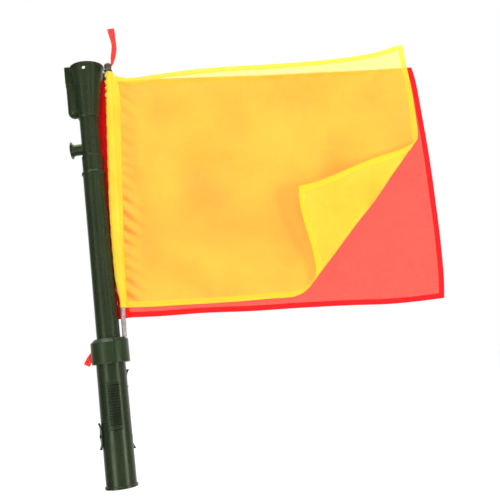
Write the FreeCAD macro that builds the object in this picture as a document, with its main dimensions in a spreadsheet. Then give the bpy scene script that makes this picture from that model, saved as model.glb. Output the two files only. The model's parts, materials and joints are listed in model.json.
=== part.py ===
import FreeCAD, Part
import Sketcher
import math
import operator
import os
from types import SimpleNamespace

# Hand signal-flag set: a tube holder with a horn head, a collar that carries two
# flag rods, and two cloth flags.  Millimetres and degrees.  Origin: centre of the
# foot face.  +Z runs up the tube, +X points to the side the flags hang on, -Y is
# the front.  An azimuth turns about Z, from +X towards +Y.

Vector = FreeCAD.Vector
UP = Vector(0, 0, 1)
LEFT = Vector(-1, 0, 0)
FRONT = Vector(0, -1, 0)
CCW, CW = 1, -1         # how an arc turns on its way to the next outline point

doc = FreeCAD.newDocument("SignalFlagSet")

# ------------------------------------------------------------------ dimensions
# _rad is a radius, _z a height above the foot face, _wide, _high, _deep, _len and
# _thick are extents, _start is the distance from an axis at which a cylinder begins.
SIZES = dict(
    # case tube
    tube_low_rad=15.4, tube_top_rad=14.8, tube_bore_rad=13.1,
    tube_foot_z=20.0, tube_straight_z=150.0, tube_bead_z=409.8,
    tube_mouth_z=415.0, tube_bead_arc=2.95,
    # spacer rings between tube and barrel, each with a groove outside
    spacer_bore_rad=15.42, spacer_rad=16.78, spacer_len=10.0,
    spacer_low_z=24.0, spacer_top_z=140.0,
    spacer_groove_up=3.5, spacer_groove_wide=3.0, spacer_groove_deep=0.5,
    # hand-grip barrel
    barrel_bore_rad=16.8, barrel_low_rad=19.4, barrel_top_rad=18.85,
    barrel_foot_z=3.4, barrel_straight_z=44.0, barrel_top_z=162.0,
    barrel_hole_start=15.9,
    # ribbed grip pads and their seats in the barrel
    pad_low_z=71.6, pad_top_z=132.9, pad_in_rad=18.25, pad_out_rad=20.35,
    pad_sweep=46.0, pad_azimuth=-77.0, pad_round=0.55, pad_gap=0.05,
    pad_step_low=1.2, pad_step_top=0.9, seat_extra_sweep=0.4, seat_overcut=2.0,
    groove_low_z=78.2, groove_wide=1.75, groove_pitch=3.5, groove_count=15,
    groove_in_rad=18.85, groove_sweep=40.0, groove_overcut=1.0, groove_flare=0.4,
    # collar with rod sockets
    collar_low_z=156.0, collar_step_z=162.2, collar_top_z=188.4, collar_hub_rad=22.2,
    collar_low_bore=18.95, collar_top_bore=15.45, collar_slope_rad=18.6,
    collar_block_rad=25.1, collar_block_round=4.4, collar_block_sweep=124.0,
    collar_block_overlap=2.5, collar_block_edge=0.6, collar_slope_overlap=0.4,
    socket_rad=2.32, socket_floor=-24.2, socket_len=34.0,
    # band round the collar
    band_in_rad=22.26, band_out_rad=23.95, band_low_z=156.2, band_top_z=183.4,
    band_sweep=233.0, band_lip_z=185.2, band_edge=0.35,
    # screw through band and collar
    screw_rad=1.45, screw_start=18.2, screw_len=5.2, screw_z=171.0, screw_azimuth=104.0,
    screw_head_rad=2.9, screw_head_start=23.38, screw_head_high=1.6,
    screw_slot_start=24.4, screw_slot_wide=0.8, screw_slot_len=8.0, screw_slot_deep=2.0,
    screw_gap=0.08, screw_hole_start=18.0, screw_hole_deep=9.0,
    screw_seat_gap=0.1, screw_seat_start=23.3, screw_seat_deep=4.0,
    # foot cap
    cap_flange_rad=20.9, cap_flange_z=3.3, cap_flange_low_round=0.8,
    cap_flange_top_round=0.5, cap_plug_rad=16.72, cap_plug_z=18.0, cap_plug_edge=0.8,
    cap_plug_bore=13.9, cap_floor=2.2, cap_groove_rad=15.0, cap_groove_z=9.0,
    cap_groove_wide=2.4, cap_ring_rad=0.87, cap_ring_mid=15.89,
    # cord cleats; a seat radius is that of the strip's inner face at a bend
    cleat_thick=1.5, cleat_tip_thick=2.6, cleat_tip_wide=4.2, cleat_tip_slant=0.4,
    cleat_bend_out=12.0, cleat_bend_in=11.0, cleat_out_arc=17.0, cleat_in_arc=60.0,
    cleat_plan_over=0.5, cleat_plan_deep=40.0,
    short_wide=13.0, short_tip_rad=23.4, short_low_z=49.6, short_top_z=82.4,
    short_low_seat=19.42, short_top_seat=19.40, short_azimuth=203.0,
    long_wide=6.6, long_tip_rad=26.2, long_low_z=44.6, long_top_z=145.8,
    long_low_seat=19.44, long_top_seat=19.10, long_azimuth=46.0,
    cleat_hole_rad=1.25, cleat_hole_start=17.0, cleat_hole_deep=8.0,
    cleat_screw_rad=1.15, cleat_screw_start=16.0, cleat_screw_len=5.4,
    cleat_head_rad=2.3, cleat_head_start=20.98, cleat_head_high=1.3,
    cleat_slot_start=21.7, cleat_slot_wide=0.6, cleat_slot_len=6.0, cleat_slot_deep=1.0,
    # joint sleeve
    sleeve_rad=14.25, sleeve_low_z=415.15, sleeve_top_z=437.0, sleeve_low_round=0.5,
    sleeve_top_round=0.6, sleeve_socket_rad=12.3, sleeve_socket_z=419.0,
    spigot_rad=13.03, spigot_low_z=385.0, spigot_bore=10.6, spigot_edge=0.6,
    spigot_groove_z=396.0, spigot_groove_wide=1.9, spigot_groove_rad=11.75,
    spigot_ring_rad=0.64, spigot_ring_mid=12.42,
    stop_rad=10.55, stop_low_z=400.0, stop_thick=2.5,
    # horn neck
    neck_rad=13.05, neck_tail_rad=12.22, neck_bore=10.4, neck_low_z=419.3,
    neck_step_z=437.15, neck_spigot_rad=12.0, neck_end_z=500.0,
    neck_edge=0.4, neck_bell_gap=0.1,
    neck_groove_z=427.0, neck_groove_wide=1.6, neck_groove_rad=11.15,
    neck_ring_rad=0.54, neck_ring_mid=11.73,
    # mouthpiece; its _x values are distances to the left of the tube axis
    mouth_z=449.0, mouth_hole_rad=6.0, mouth_hole_deep=20.0,
    mouth_boss_rad=5.95, mouth_boss_len=3.4, mouth_bore_deep=6.0, mouth_bore_inset=1.0,
    mouth_stem_rad=7.7, mouth_in_x=10.6, mouth_flare_x=22.2, mouth_face_x=27.4,
    mouth_flare_rad=11.6, mouth_flare_arc=5.0, mouth_rim_wide=0.9, mouth_bore=4.4,
    mouth_cup_rad=9.8, mouth_cup_arc=9.0, mouth_cup_sink=1.0,
    saddle_gap=0.04, saddle_len=40.0,
    # reed
    reed_disc_rad=10.35, reed_disc_z=464.0, reed_disc_thick=7.0,
    shallot_rad=4.2, shallot_low_z=442.0, shallot_overlap=1.0, shallot_flat_x=-0.2,
    shallot_bore=2.6, shallot_bore_x=1.2, shallot_bore_up=2.0, shallot_bore_len=40.0,
    shallot_cut_wide=12.0, shallot_cut_below=4.0,
    leaf_pocket_wide=8.0, leaf_pocket_high=8.0, leaf_pocket_drop=0.01,
    leaf_wide=6.0, leaf_thick=0.3, leaf_low_z=443.0, leaf_top_z=470.6, leaf_x=-1.75,
    leaf_hole_gap=0.25, leaf_hole_x=1.0, leaf_hole_len=6.0,
    reed_screw_rad=0.95, reed_screw_len=5.0, reed_screw_x=2.0, reed_screw_z=467.5,
    reed_head_rad=1.9, reed_head_high=1.0, reed_head_x=-2.35,
    # bell; the wall is measured at its mouth
    bell_low_z=491.9, bell_top_z=566.0, bell_low_rad=13.9, bell_top_rad=23.1,
    bell_shift=3.0, bell_wall=1.6, bell_foot_high=2.4, bell_foot_out=0.55,
    bell_lip_rad=23.6, bell_lip_z=563.2, bell_lip_round=0.4,
    bell_socket_rad=12.03, bell_socket_z=500.2, bell_socket_overlap=0.01,
    bell_socket_below=1.0, bell_throat_rad=11.6, bell_throat_shift=0.35,
    bell_hollow_over=0.5,
    lanyard_x=3.3, lanyard_y=-14.0, lanyard_z=557.8, lanyard_rad=2.35, lanyard_len=20.0,
    # whistle, to the left of the bell; flat distances are measured to the left
    whistle_x=18.5, whistle_rad=9.0, whistle_low_z=494.2, whistle_waist_z=541.0,
    whistle_top_z=568.4, whistle_flat_x=27.2, whistle_flat_in_x=17.0,
    whistle_flat_wide=15.0, whistle_flat_up=3.0, whistle_flat_taper=0.9,
    whistle_beak_drop=4.0, whistle_corner=1.5, whistle_round=2.2,
    trim_gap=0.03, trim_foot_below=10.0, trim_over=0.05, trim_lip_high=8.0,
    whistle_cell_rad=5.2, cavity_x=20.2, cavity_z=504.0, cavity_high=32.0,
    windway_x=-25.4, windway_thick=3.6, windway_wide=9.0, windway_high=40.0,
    windway_drop=8.0, nick_drop=0.8, nick_wide=30.0,
    fipple_x=-24.35, fipple_z=546.0, fipple_thick=2.5, fipple_wide=8.9, fipple_high=21.0,
    # flag rods: each is drawn along its own axis, zero at rod_base_z
    rod_base_z=188.0, rod_rad=3.0, rod_bore=2.05, rod_low=4.2, rod_end=372.6,
    foot_pin_rad=2.25, foot_pin_low=-23.9, foot_pin_edge_in=0.6, foot_pin_edge_up=0.8,
    foot_step=0.5, foot_edge_in=0.5, foot_edge_up=0.7, foot_gap=0.03,
    foot_plug_rad=2.0, foot_plug_end=18.0,
    knob_low=367.4, knob_top=379.6, knob_bore=3.03, knob_gap=0.05,
    knob_skirt_rad=5.75, knob_edge_in=0.3, knob_edge_up=0.5,
    knob_skirt_in=0.2, knob_skirt_up=1.3, knob_skirt_arc=3.4,
    knob_waist_rad=4.5, knob_waist_up=3.0, knob_waist_arc=4.5,
    knob_dome_rad=4.95, knob_dome_up=5.6,
    yellow_base_x=22.1, yellow_base_y=-5.0, yellow_lean_x=0.0305, yellow_lean_y=0.0,
    red_base_x=20.1, red_base_y=5.0, red_lean_x=0.0071, red_lean_y=0.048,
    # cloth; _low and _top are hem ends along the rod
    hem_bore=3.08, hem_rad=3.9, hem_bore_over=2.0, cloth_thick=0.8,
    yellow_low=37.5, yellow_top=366.6, red_low=24.5, red_top=366.6,
    flap_tilt=5.0, flap_forward=0.3,
    # ribbons
    ribbon_thick=0.8, collar_ribbon_y=6.0,
)

CLEAT_SCREW_Z = {"short": [66.0], "long": [60.0, 124.0]}

# Nick in the whistle's left face: x, height above the nick's lowest point
WHISTLE_NICK = [(-30.0, 4.0), (-30.0, 0.0), (-24.9, 1.4), (-25.9, 3.0)]

# Crease of the yellow flag and the corner folded over it: x, z
CREASE_LOW, CREASE_TOP, FOLDED_TIP = (266.0, 217.5), (443.0, 404.0), (274.7, 362.0)

# Yellow flag without its folded corner: x, z
YELLOW_OUTLINE = [
    (26.8, 226.0), (58.8, 222.6), (182.2, 214.9), (258.0, 213.2), CREASE_LOW,
    (275.4, 225.8), (349.1, 302.8), (405.3, 362.0), CREASE_TOP, (444.6, 460.0),
    (442.4, 540.3), (413.7, 535.2), (346.2, 531.5), (213.2, 538.8), (146.6, 542.4),
    (62.7, 541.6), (44.9, 545.5), (36.3, 553.0)]

# Red flag in its leaning plane: x, distance up the plane from rod_base_z
RED_OUTLINE = [
    (23.6, 25.0), (63.7, 22.0), (190.9, 13.4), (317.5, 4.9), (380.5, -0.3),
    (444.1, -0.9), (452.9, 71.4), (459.2, 207.4), (459.3, 303.3), (456.5, 328.3),
    (240.0, 345.0), (25.6, 362.0)]

# Ribbons: x, z
TOP_RIBBON = [
    (40.4, 566.5), (42.2, 566.8), (45.6, 578.0), (47.4, 592.0), (47.4, 606.0),
    (47.2, 616.2), (37.9, 617.0), (39.6, 606.0), (40.6, 592.0), (41.4, 578.0)]
COLLAR_RIBBON = [(-24.7, 174.0), (-36.0, 160.0), (-30.0, 154.2), (-25.2, 161.0)]

OPERATIONS = {"+": operator.add, "-": operator.sub, "*": operator.mul, "/": operator.truediv}


class Dim:
    """A size that carries both its sheet expression and its value."""

    def __init__(self, text, value):
        self.text = text
        self.value = float(value)
        self.driven = "Dims." in text

    def combine(self, sign, other):
        other = dim(other)
        value = OPERATIONS[sign](self.value, other.value)
        return Dim(f"({self.text} {sign} {other.text})", value)

    def __add__(self, other):
        return self.combine("+", other)

    def __sub__(self, other):
        return self.combine("-", other)

    def __mul__(self, other):
        return self.combine("*", other)

    def __truediv__(self, other):
        return self.combine("/", other)

    def __neg__(self):
        return Dim(f"(0 - {self.text})", -self.value)


def dim(size):
    return size if isinstance(size, Dim) else Dim(repr(float(size)), size)


def fill_sheet():
    """Write SIZES to the sheet and return them as Dims, one attribute per alias."""
    sheet = doc.addObject("Spreadsheet::Sheet", "Dims")
    for row, (word, value) in enumerate(SIZES.items(), start=1):
        sheet.set(f"A{row}", word)
        sheet.set(f"B{row}", "%.6g" % value)
        sheet.setAlias(f"B{row}", word)
    doc.recompute()
    return SimpleNamespace(**{word: Dim(f"Dims.{word}", value) for word, value in SIZES.items()})


dims = fill_sheet()
pieces = []          # objects written out, one per named piece


def dim_of(kind, word):
    return getattr(dims, f"{kind}_{word}")


def keep(obj, label):
    obj.Label = label
    pieces.append(obj)


def bind(obj, prop, size):
    """Set a property, and drive it from the sheet where the size comes from there."""
    size = dim(size)
    setattr(obj, prop, size.value)
    if size.driven:
        obj.setExpression(prop, size.text)


# ------------------------------------------------------------------ placements
def placed(x, y, z, axis=None):
    """Placement at a point; its Z axis points along axis where one is given."""
    rotation = FreeCAD.Rotation(UP, axis) if axis else FreeCAD.Rotation()
    return FreeCAD.Placement(Vector(dim(x).value, dim(y).value, dim(z).value), rotation)


def radial(radius, azimuth, z):
    """Placement whose Z axis points outward at an azimuth."""
    angle = math.radians(dim(azimuth).value)
    outward = Vector(math.cos(angle), math.sin(angle), 0)
    return placed(radius * outward.x, radius * outward.y, z, outward)


def rod_placement(colour):
    """Frame of a flag rod, with Z along the leaning rod."""
    lean = Vector(dim_of(colour, "lean_x").value, dim_of(colour, "lean_y").value, 1.0)
    lean.normalize()
    return placed(dim_of(colour, "base_x"), dim_of(colour, "base_y"), dims.rod_base_z, lean)


def along(colour, start):
    """The rod's frame moved along its axis to start."""
    rod = rod_placement(colour)
    return FreeCAD.Placement(rod.multVec(Vector(0, 0, dim(start).value)), rod.Rotation)


# ------------------------------------------------------------------ sketches
def new_body(name):
    return doc.addObject("PartDesign::Body", name)


def new_sketch(body, name, plane="XZ_Plane", offset=None):
    support = next(item for item in body.Origin.OriginFeatures if item.Role == plane)
    sketch = body.newObject("Sketcher::SketchObject", name)
    sketch.AttachmentSupport = [(support, "")]
    sketch.MapMode = "FlatFace"
    if offset is not None:
        sketch.AttachmentOffset = offset
    return sketch


def constrain(sketch, kind, references, size):
    size = dim(size)
    index = sketch.addConstraint(Sketcher.Constraint(kind, *references, size.value))
    if size.driven:
        sketch.setExpression(f"Constraints[{index}]", size.text)


def pin_point(sketch, edge, point, x, y):
    constrain(sketch, "DistanceX", (-1, 1, edge, point), x)
    constrain(sketch, "DistanceY", (-1, 1, edge, point), y)


def arc_between(start, end, radius, turning):
    chord = end - start
    rise = math.sqrt(max(radius ** 2 - (chord.Length / 2.0) ** 2, 0.0))
    left = Vector(-chord.y, chord.x, 0)
    left.normalize()
    centre = (start + end) * 0.5 + left * (rise * turning)
    angles = [math.atan2(p.y - centre.y, p.x - centre.x) for p in (start, end)]
    if turning == CW:
        angles.reverse()
    return Part.ArcOfCircle(Part.Circle(centre, UP, radius), *angles)


def closed_profile(sketch, outline):
    """Closed outline through (x, y) points.  A point (x, y, radius, CCW or CW)
    starts an arc to the next point; any other starts a line."""
    corners = [Vector(dim(point[0]).value, dim(point[1]).value, 0) for point in outline]
    ends = []       # per edge: index, its start point, its end point
    for index, point in enumerate(outline):
        start, end = corners[index], corners[(index + 1) % len(corners)]
        bend = point[2:]
        if bend:
            curve = arc_between(start, end, dim(bend[0]).value, bend[1])
        else:
            curve = Part.LineSegment(start, end)
        edge = sketch.addGeometry(curve, False)
        ends.append((edge, 2, 1) if bend and bend[1] == CW else (edge, 1, 2))
    for index, (edge, _, last) in enumerate(ends):
        following, first, _ = ends[(index + 1) % len(ends)]
        sketch.addConstraint(Sketcher.Constraint("Coincident", edge, last, following, first))
    for point, (edge, first, _) in zip(outline, ends):
        pin_point(sketch, edge, first, point[0], point[1])
        if len(point) > 2:
            constrain(sketch, "Radius", (edge,), point[2])


def circle_sketch(body, name, z, x, radius):
    """Horizontal circle at height z, centred x along the X axis."""
    sketch = new_sketch(body, name, "XY_Plane", placed(0, 0, z))
    circle = Part.Circle(Vector(dim(x).value, 0, 0), UP, dim(radius).value)
    edge = sketch.addGeometry(circle, False)
    pin_point(sketch, edge, 3, x, 0)
    constrain(sketch, "Radius", (edge,), radius)
    return sketch


# ------------------------------------------------------------------ body features
def turn(body, name, outline, sweep=None, groove=False, azimuth=0.0):
    """Revolve an (r, z) outline about the body's Z axis, or cut it with groove;
    a partial sweep is centred on the azimuth."""
    turned = FreeCAD.Rotation(Vector(0, 1, 0), dim(azimuth).value)
    sketch = new_sketch(body, name + "Sketch", offset=FreeCAD.Placement(Vector(), turned))
    closed_profile(sketch, outline)
    feature = body.newObject("PartDesign::Groove" if groove else "PartDesign::Revolution", name)
    feature.Profile = sketch
    feature.ReferenceAxis = (sketch, ["V_Axis"])
    bind(feature, "Angle", 360.0 if sweep is None else sweep)
    if sweep is not None:
        feature.Midplane = True
    doc.recompute()
    return feature


def turned_piece(label, outline, placement=None):
    body = new_body(label)
    turn(body, label + "Turned", outline)
    if placement is not None:
        body.Placement = placement
        doc.recompute()
    keep(body, label)


def slab(name, outline, thick, placement=None, plane="XZ_Plane", midplane=True):
    """Body of even thickness, centred on its plane unless midplane is off."""
    body = new_body(name)
    sketch = new_sketch(body, name + "Sketch", plane)
    closed_profile(sketch, outline)
    feature = body.newObject("PartDesign::Pad", name + "Pad")
    feature.Profile = sketch
    feature.Midplane = midplane
    bind(feature, "Length", thick)
    if placement is not None:
        body.Placement = placement
    doc.recompute()
    return body


def loft(body, name, kind, low, top):
    """Loft between two horizontal circles, each (z, x, radius)."""
    low_sketch = circle_sketch(body, name + "Low", *low)
    top_sketch = circle_sketch(body, name + "Top", *top)
    feature = body.newObject(f"PartDesign::{kind}Loft", name)
    feature.Profile = low_sketch
    feature.Sections = [top_sketch]
    doc.recompute()


def round_edges(body, name, radius, test):
    """Fillet the edges of the body's tip that pass the test."""
    doc.recompute()
    tip = body.Tip
    edges = [f"Edge{i}" for i, edge in enumerate(tip.Shape.Edges, start=1) if test(edge)]
    feature = body.newObject("PartDesign::Fillet", name)
    feature.Base = (tip, edges)
    bind(feature, "Radius", radius)
    doc.recompute()


# ------------------------------------------------------------------ plain solids and booleans
def cylinder(name, radius, height, placement):
    obj = doc.addObject("Part::Cylinder", name)
    bind(obj, "Radius", radius)
    bind(obj, "Height", height)
    obj.Placement = placement
    return obj


def box(name, length, width, height, placement):
    obj = doc.addObject("Part::Box", name)
    bind(obj, "Length", length)
    bind(obj, "Width", width)
    bind(obj, "Height", height)
    obj.Placement = placement
    return obj


def cut(name, base, *tools):
    """Take the tools away one after another."""
    result = base
    for tool in tools:
        step = doc.addObject("Part::Cut", name)
        step.Base = result
        step.Tool = tool
        result = step
    doc.recompute()
    return result


def fuse(name, *shapes):
    obj = doc.addObject("Part::MultiFuse", name)
    obj.Shapes = list(shapes)
    obj.Refine = True
    doc.recompute()
    return obj


def common(name, base, tool):
    obj = doc.addObject("Part::Common", name)
    obj.Base = base
    obj.Tool = tool
    doc.recompute()
    return obj


def seal_groove(kind, surface):
    """Outline points of a seal groove, from its lower to its upper rim."""
    low, floor = dim_of(kind, "groove_z"), dim_of(kind, "groove_rad")
    top = low + dim_of(kind, "groove_wide")
    return [(surface, low), (floor, low), (floor, top), (surface, top)]


def seal_ring(kind, label):
    """Round seal at mid-height of its groove."""
    obj = doc.addObject("Part::Torus", label)
    bind(obj, "Radius1", dim_of(kind, "ring_mid"))
    bind(obj, "Radius2", dim_of(kind, "ring_rad"))
    middle = dim_of(kind, "groove_z") + dim_of(kind, "groove_wide") / 2
    obj.setExpression("Placement.Base.z", middle.text)
    keep(obj, label)


def slotted_screw(name, azimuth, z, shank, head, slot):
    """Radial screw; shank and head are (start, radius, length), slot is
    (start, width, length, depth)."""
    start, radius, length = shank
    shank_solid = cylinder(name + "Shank", radius, length, radial(start, azimuth, z))
    start, radius, length = head
    head_solid = cylinder(name + "Head", radius, length, radial(start, azimuth, z))
    start, width, length, depth = slot
    corner = radial(start, azimuth, z).multiply(placed(-width / 2, -length / 2, 0))
    slot_solid = box(name + "Slot", width, length, depth, corner)
    return cut(name, fuse(name + "Blank", shank_solid, head_solid), slot_solid)


# ------------------------------------------------------------------ tube and barrel
def case_tube():
    turned_piece("case_tube", [
        (dims.tube_bore_rad, dims.tube_foot_z), (dims.tube_low_rad, dims.tube_foot_z),
        (dims.tube_low_rad, dims.tube_straight_z),
        (dims.tube_top_rad, dims.tube_bead_z, dims.tube_bead_arc, CCW),
        (dims.tube_top_rad, dims.tube_mouth_z), (dims.tube_bore_rad, dims.tube_mouth_z)])


def tube_spacer(label, low):
    """Ring with one shallow groove outside, its sides sloping at 45 degrees."""
    bore, outer, deep = dims.spacer_bore_rad, dims.spacer_rad, dims.spacer_groove_deep
    groove_low = low + dims.spacer_groove_up
    groove_top = groove_low + dims.spacer_groove_wide
    turned_piece(label, [
        (bore, low), (outer, low), (outer, groove_low),
        (outer - deep, groove_low + deep), (outer - deep, groove_top - deep),
        (outer, groove_top), (outer, low + dims.spacer_len), (bore, low + dims.spacer_len)])


def cleat_holes(name, kind, start):
    return [cylinder(name, dims.cleat_hole_rad, dims.cleat_hole_deep,
                     radial(start, dim_of(kind, "azimuth"), z)) for z in CLEAT_SCREW_Z[kind]]


def handle_shell():
    body = new_body("HandleShell")
    turn(body, "BarrelWall", [
        (dims.barrel_bore_rad, dims.barrel_foot_z), (dims.barrel_low_rad, dims.barrel_foot_z),
        (dims.barrel_low_rad, dims.barrel_straight_z), (dims.barrel_top_rad, dims.barrel_top_z),
        (dims.barrel_bore_rad, dims.barrel_top_z)])
    inner, outer = dims.pad_in_rad - dims.pad_gap, dims.pad_out_rad + dims.seat_overcut
    low, top = dims.pad_low_z - dims.pad_gap, dims.pad_top_z + dims.pad_gap
    for half_turn in (0.0, 180.0):        # recesses that seat the two pads
        turn(body, "PadSeat", [(inner, low), (outer, low), (outer, top), (inner, top)],
             sweep=dims.pad_sweep + dims.seat_extra_sweep, groove=True,
             azimuth=dims.pad_azimuth + half_turn)
    holes = [hole for kind in CLEAT_SCREW_Z
             for hole in cleat_holes("BarrelScrewHole", kind, dims.barrel_hole_start)]
    keep(cut("HandleShellDrilled", body, *holes), "handle_shell")


def grip_pad(label, azimuth):
    """Curved pad with stepped ends and a row of cross grooves."""
    body = new_body(label)
    step_rad, outer = dims.groove_in_rad, dims.pad_out_rad
    step_low = dims.pad_low_z + dims.pad_step_low
    step_top = dims.pad_top_z - dims.pad_step_top
    turn(body, label + "Block", [
        (dims.pad_in_rad, dims.pad_low_z), (step_rad, dims.pad_low_z), (step_rad, step_low),
        (outer, step_low), (outer, step_top), (step_rad, step_top),
        (step_rad, dims.pad_top_z), (dims.pad_in_rad, dims.pad_top_z)],
        sweep=dims.pad_sweep, azimuth=azimuth)

    def on_outer_face(edge):
        reach = min(math.hypot(v.Point.x, v.Point.y) for v in edge.Vertexes)
        return reach > outer.value - 0.01

    round_edges(body, label + "Round", dims.pad_round, on_outer_face)
    low = dims.groove_low_z
    top, beyond = low + dims.groove_wide, outer + dims.groove_overcut
    groove = turn(body, label + "Groove", [
        (dims.groove_in_rad, low), (beyond, low - dims.groove_flare),
        (beyond, top + dims.groove_flare), (dims.groove_in_rad, top)],
        sweep=dims.groove_sweep, groove=True, azimuth=azimuth)
    row = body.newObject("PartDesign::LinearPattern", label + "Grooves")
    row.Originals = [groove]
    row.Direction = (groove.Profile[0], ["V_Axis"])
    bind(row, "Length", dims.groove_pitch * (dims.groove_count - 1))
    row.Occurrences = int(dims.groove_count.value)
    row.setExpression("Occurrences", dims.groove_count.text)
    body.Tip = row
    doc.recompute()
    keep(body, label)


# ------------------------------------------------------------------ collar
def clamp_hole(name):
    """Hole for the clamping screw, the same in collar and band."""
    return cylinder(name, dims.screw_rad + dims.screw_gap, dims.screw_hole_deep,
                    radial(dims.screw_hole_start, dims.screw_azimuth, dims.screw_z))


def rod_socket_collar():
    """Stepped hub with a block on its +X side that holds the rod sockets."""
    body = new_body("CollarHub")
    low, top, step = dims.collar_low_z, dims.collar_top_z, dims.collar_step_z
    turn(body, "HubWall", [
        (dims.collar_low_bore, low), (dims.collar_hub_rad, low),
        (dims.collar_hub_rad, dims.band_lip_z), (dims.collar_slope_rad, top),
        (dims.collar_top_bore, top), (dims.collar_top_bore, step),
        (dims.collar_low_bore, step)])
    outer, corner, edge = dims.collar_block_rad, dims.collar_block_round, dims.collar_block_edge
    turn(body, "SocketBlock", [
        (dims.collar_hub_rad - dims.collar_block_overlap, low), (outer - edge, low),
        (outer, low + edge), (outer, top - corner, corner, CCW), (outer - corner, top),
        (dims.collar_slope_rad - dims.collar_slope_overlap, top)],
        sweep=dims.collar_block_sweep)
    sockets = [cylinder("RodSocket", dims.socket_rad, dims.socket_len,
                        along(colour, dims.socket_floor)) for colour in ("yellow", "red")]
    drilled = cut("CollarDrilled", body, *sockets, clamp_hole("CollarScrewHole"))
    keep(drilled, "rod_socket_collar")


def collar_band():
    """Open band round the collar's -X side."""
    body = new_body("CollarBand")
    outer, low, edge = dims.band_out_rad, dims.band_low_z, dims.band_edge
    turn(body, "BandWall", [
        (dims.band_in_rad, low), (outer - edge, low), (outer, low + edge),
        (outer, dims.band_top_z), (dims.band_in_rad, dims.band_lip_z)],
        sweep=dims.band_sweep, azimuth=180.0)
    seat = cylinder("BandSeat", dims.screw_head_rad + dims.screw_seat_gap, dims.screw_seat_deep,
                    radial(dims.screw_seat_start, dims.screw_azimuth, dims.screw_z))
    keep(cut("BandDrilled", body, clamp_hole("BandHole"), seat), "collar_band")


def collar_screw():
    """Slotted screw that clamps the band."""
    screw = slotted_screw(
        "CollarScrew", dims.screw_azimuth, dims.screw_z,
        shank=(dims.screw_start, dims.screw_rad, dims.screw_len),
        head=(dims.screw_head_start, dims.screw_head_rad, dims.screw_head_high),
        slot=(dims.screw_slot_start, dims.screw_slot_wide, dims.screw_slot_len,
              dims.screw_slot_deep))
    keep(screw, "collar_screw")


# ------------------------------------------------------------------ foot cap
def end_cap():
    flange, flange_top = dims.cap_flange_rad, dims.cap_flange_z
    low_round, top_round = dims.cap_flange_low_round, dims.cap_flange_top_round
    plug, plug_top, edge = dims.cap_plug_rad, dims.cap_plug_z, dims.cap_plug_edge
    turned_piece("end_cap", [
        (0, 0), (flange - low_round, 0, low_round, CCW), (flange, low_round),
        (flange, flange_top - top_round, top_round, CCW), (flange - top_round, flange_top),
        (plug, flange_top), *seal_groove("cap", plug), (plug, plug_top - edge),
        (plug - edge, plug_top), (dims.cap_plug_bore, plug_top),
        (dims.cap_plug_bore, dims.cap_floor), (0, dims.cap_floor)])
    seal_ring("cap", "end_cap_seal")


# ------------------------------------------------------------------ cord cleats
def cord_cleat(kind):
    """Bowed strip: the middle lies on the barrel, both tips stand off it."""
    name = kind.title() + "Cleat"
    low, top = dim_of(kind, "low_z"), dim_of(kind, "top_z")
    low_seat, top_seat = dim_of(kind, "low_seat"), dim_of(kind, "top_seat")
    tip, thick, slant = dim_of(kind, "tip_rad"), dims.cleat_thick, dims.cleat_tip_slant
    bend_out, bend_in = dims.cleat_bend_out, dims.cleat_bend_in
    bow = slab(name + "Bow", [
        (tip, low, dims.cleat_out_arc, CW), (low_seat + thick, low + bend_out),
        (top_seat + thick, top - bend_out, dims.cleat_out_arc, CW), (tip, top),
        (tip - dims.cleat_tip_thick, top + slant, dims.cleat_in_arc, CCW),
        (top_seat, top - bend_in), (low_seat, low + bend_in, dims.cleat_in_arc, CCW),
        (tip - dims.cleat_tip_thick, low - slant)], dim_of(kind, "wide"))
    # plan outline: wide where it is screwed down, narrow at the tips
    half, tip_half, over = dim_of(kind, "wide") / 2, dims.cleat_tip_wide / 2, dims.cleat_plan_over
    plan = slab(name + "Plan", [
        (-tip_half, low - over), (tip_half, low - over), (half, low + bend_in),
        (half, top - bend_in), (tip_half, top + over), (-tip_half, top + over),
        (-half, top - bend_in), (-half, low + bend_in)],
        dims.cleat_plan_deep, plane="YZ_Plane", midplane=False)
    strip = common(name, bow, plan)
    turned = FreeCAD.Rotation(UP, dim_of(kind, "azimuth").value)
    strip.Placement = FreeCAD.Placement(Vector(), turned)
    holes = cleat_holes(name + "Hole", kind, dims.cleat_hole_start)
    keep(cut(name + "Drilled", strip, *holes), "cord_cleat_" + kind)


def cleat_screws():
    """Three alike slotted screws in one compound."""
    group = doc.addObject("Part::Compound", "CleatScrews")
    group.Links = [
        slotted_screw(
            "CleatScrew", dim_of(kind, "azimuth"), z,
            shank=(dims.cleat_screw_start, dims.cleat_screw_rad, dims.cleat_screw_len),
            head=(dims.cleat_head_start, dims.cleat_head_rad, dims.cleat_head_high),
            slot=(dims.cleat_slot_start, dims.cleat_slot_wide, dims.cleat_slot_len,
                  dims.cleat_slot_deep))
        for kind, heights in CLEAT_SCREW_Z.items() for z in heights]
    doc.recompute()
    keep(group, "cleat_screws")


# ------------------------------------------------------------------ joint sleeve
def joint_sleeve():
    """Sleeve with a spigot below for the tube and a socket above for the neck."""
    spigot, spigot_low, edge = dims.spigot_rad, dims.spigot_low_z, dims.spigot_edge
    outer, low, top = dims.sleeve_rad, dims.sleeve_low_z, dims.sleeve_top_z
    low_round, top_round = dims.sleeve_low_round, dims.sleeve_top_round
    turned_piece("joint_sleeve", [
        (dims.spigot_bore, spigot_low), (spigot - edge, spigot_low), (spigot, spigot_low + edge),
        *seal_groove("spigot", spigot), (spigot, low),
        (outer - low_round, low, low_round, CCW), (outer, low + low_round),
        (outer, top - top_round, top_round, CCW), (outer - top_round, top),
        (dims.sleeve_socket_rad, top), (dims.sleeve_socket_rad, dims.sleeve_socket_z),
        (dims.spigot_bore, dims.sleeve_socket_z)])
    seal_ring("spigot", "spigot_seal")


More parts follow.
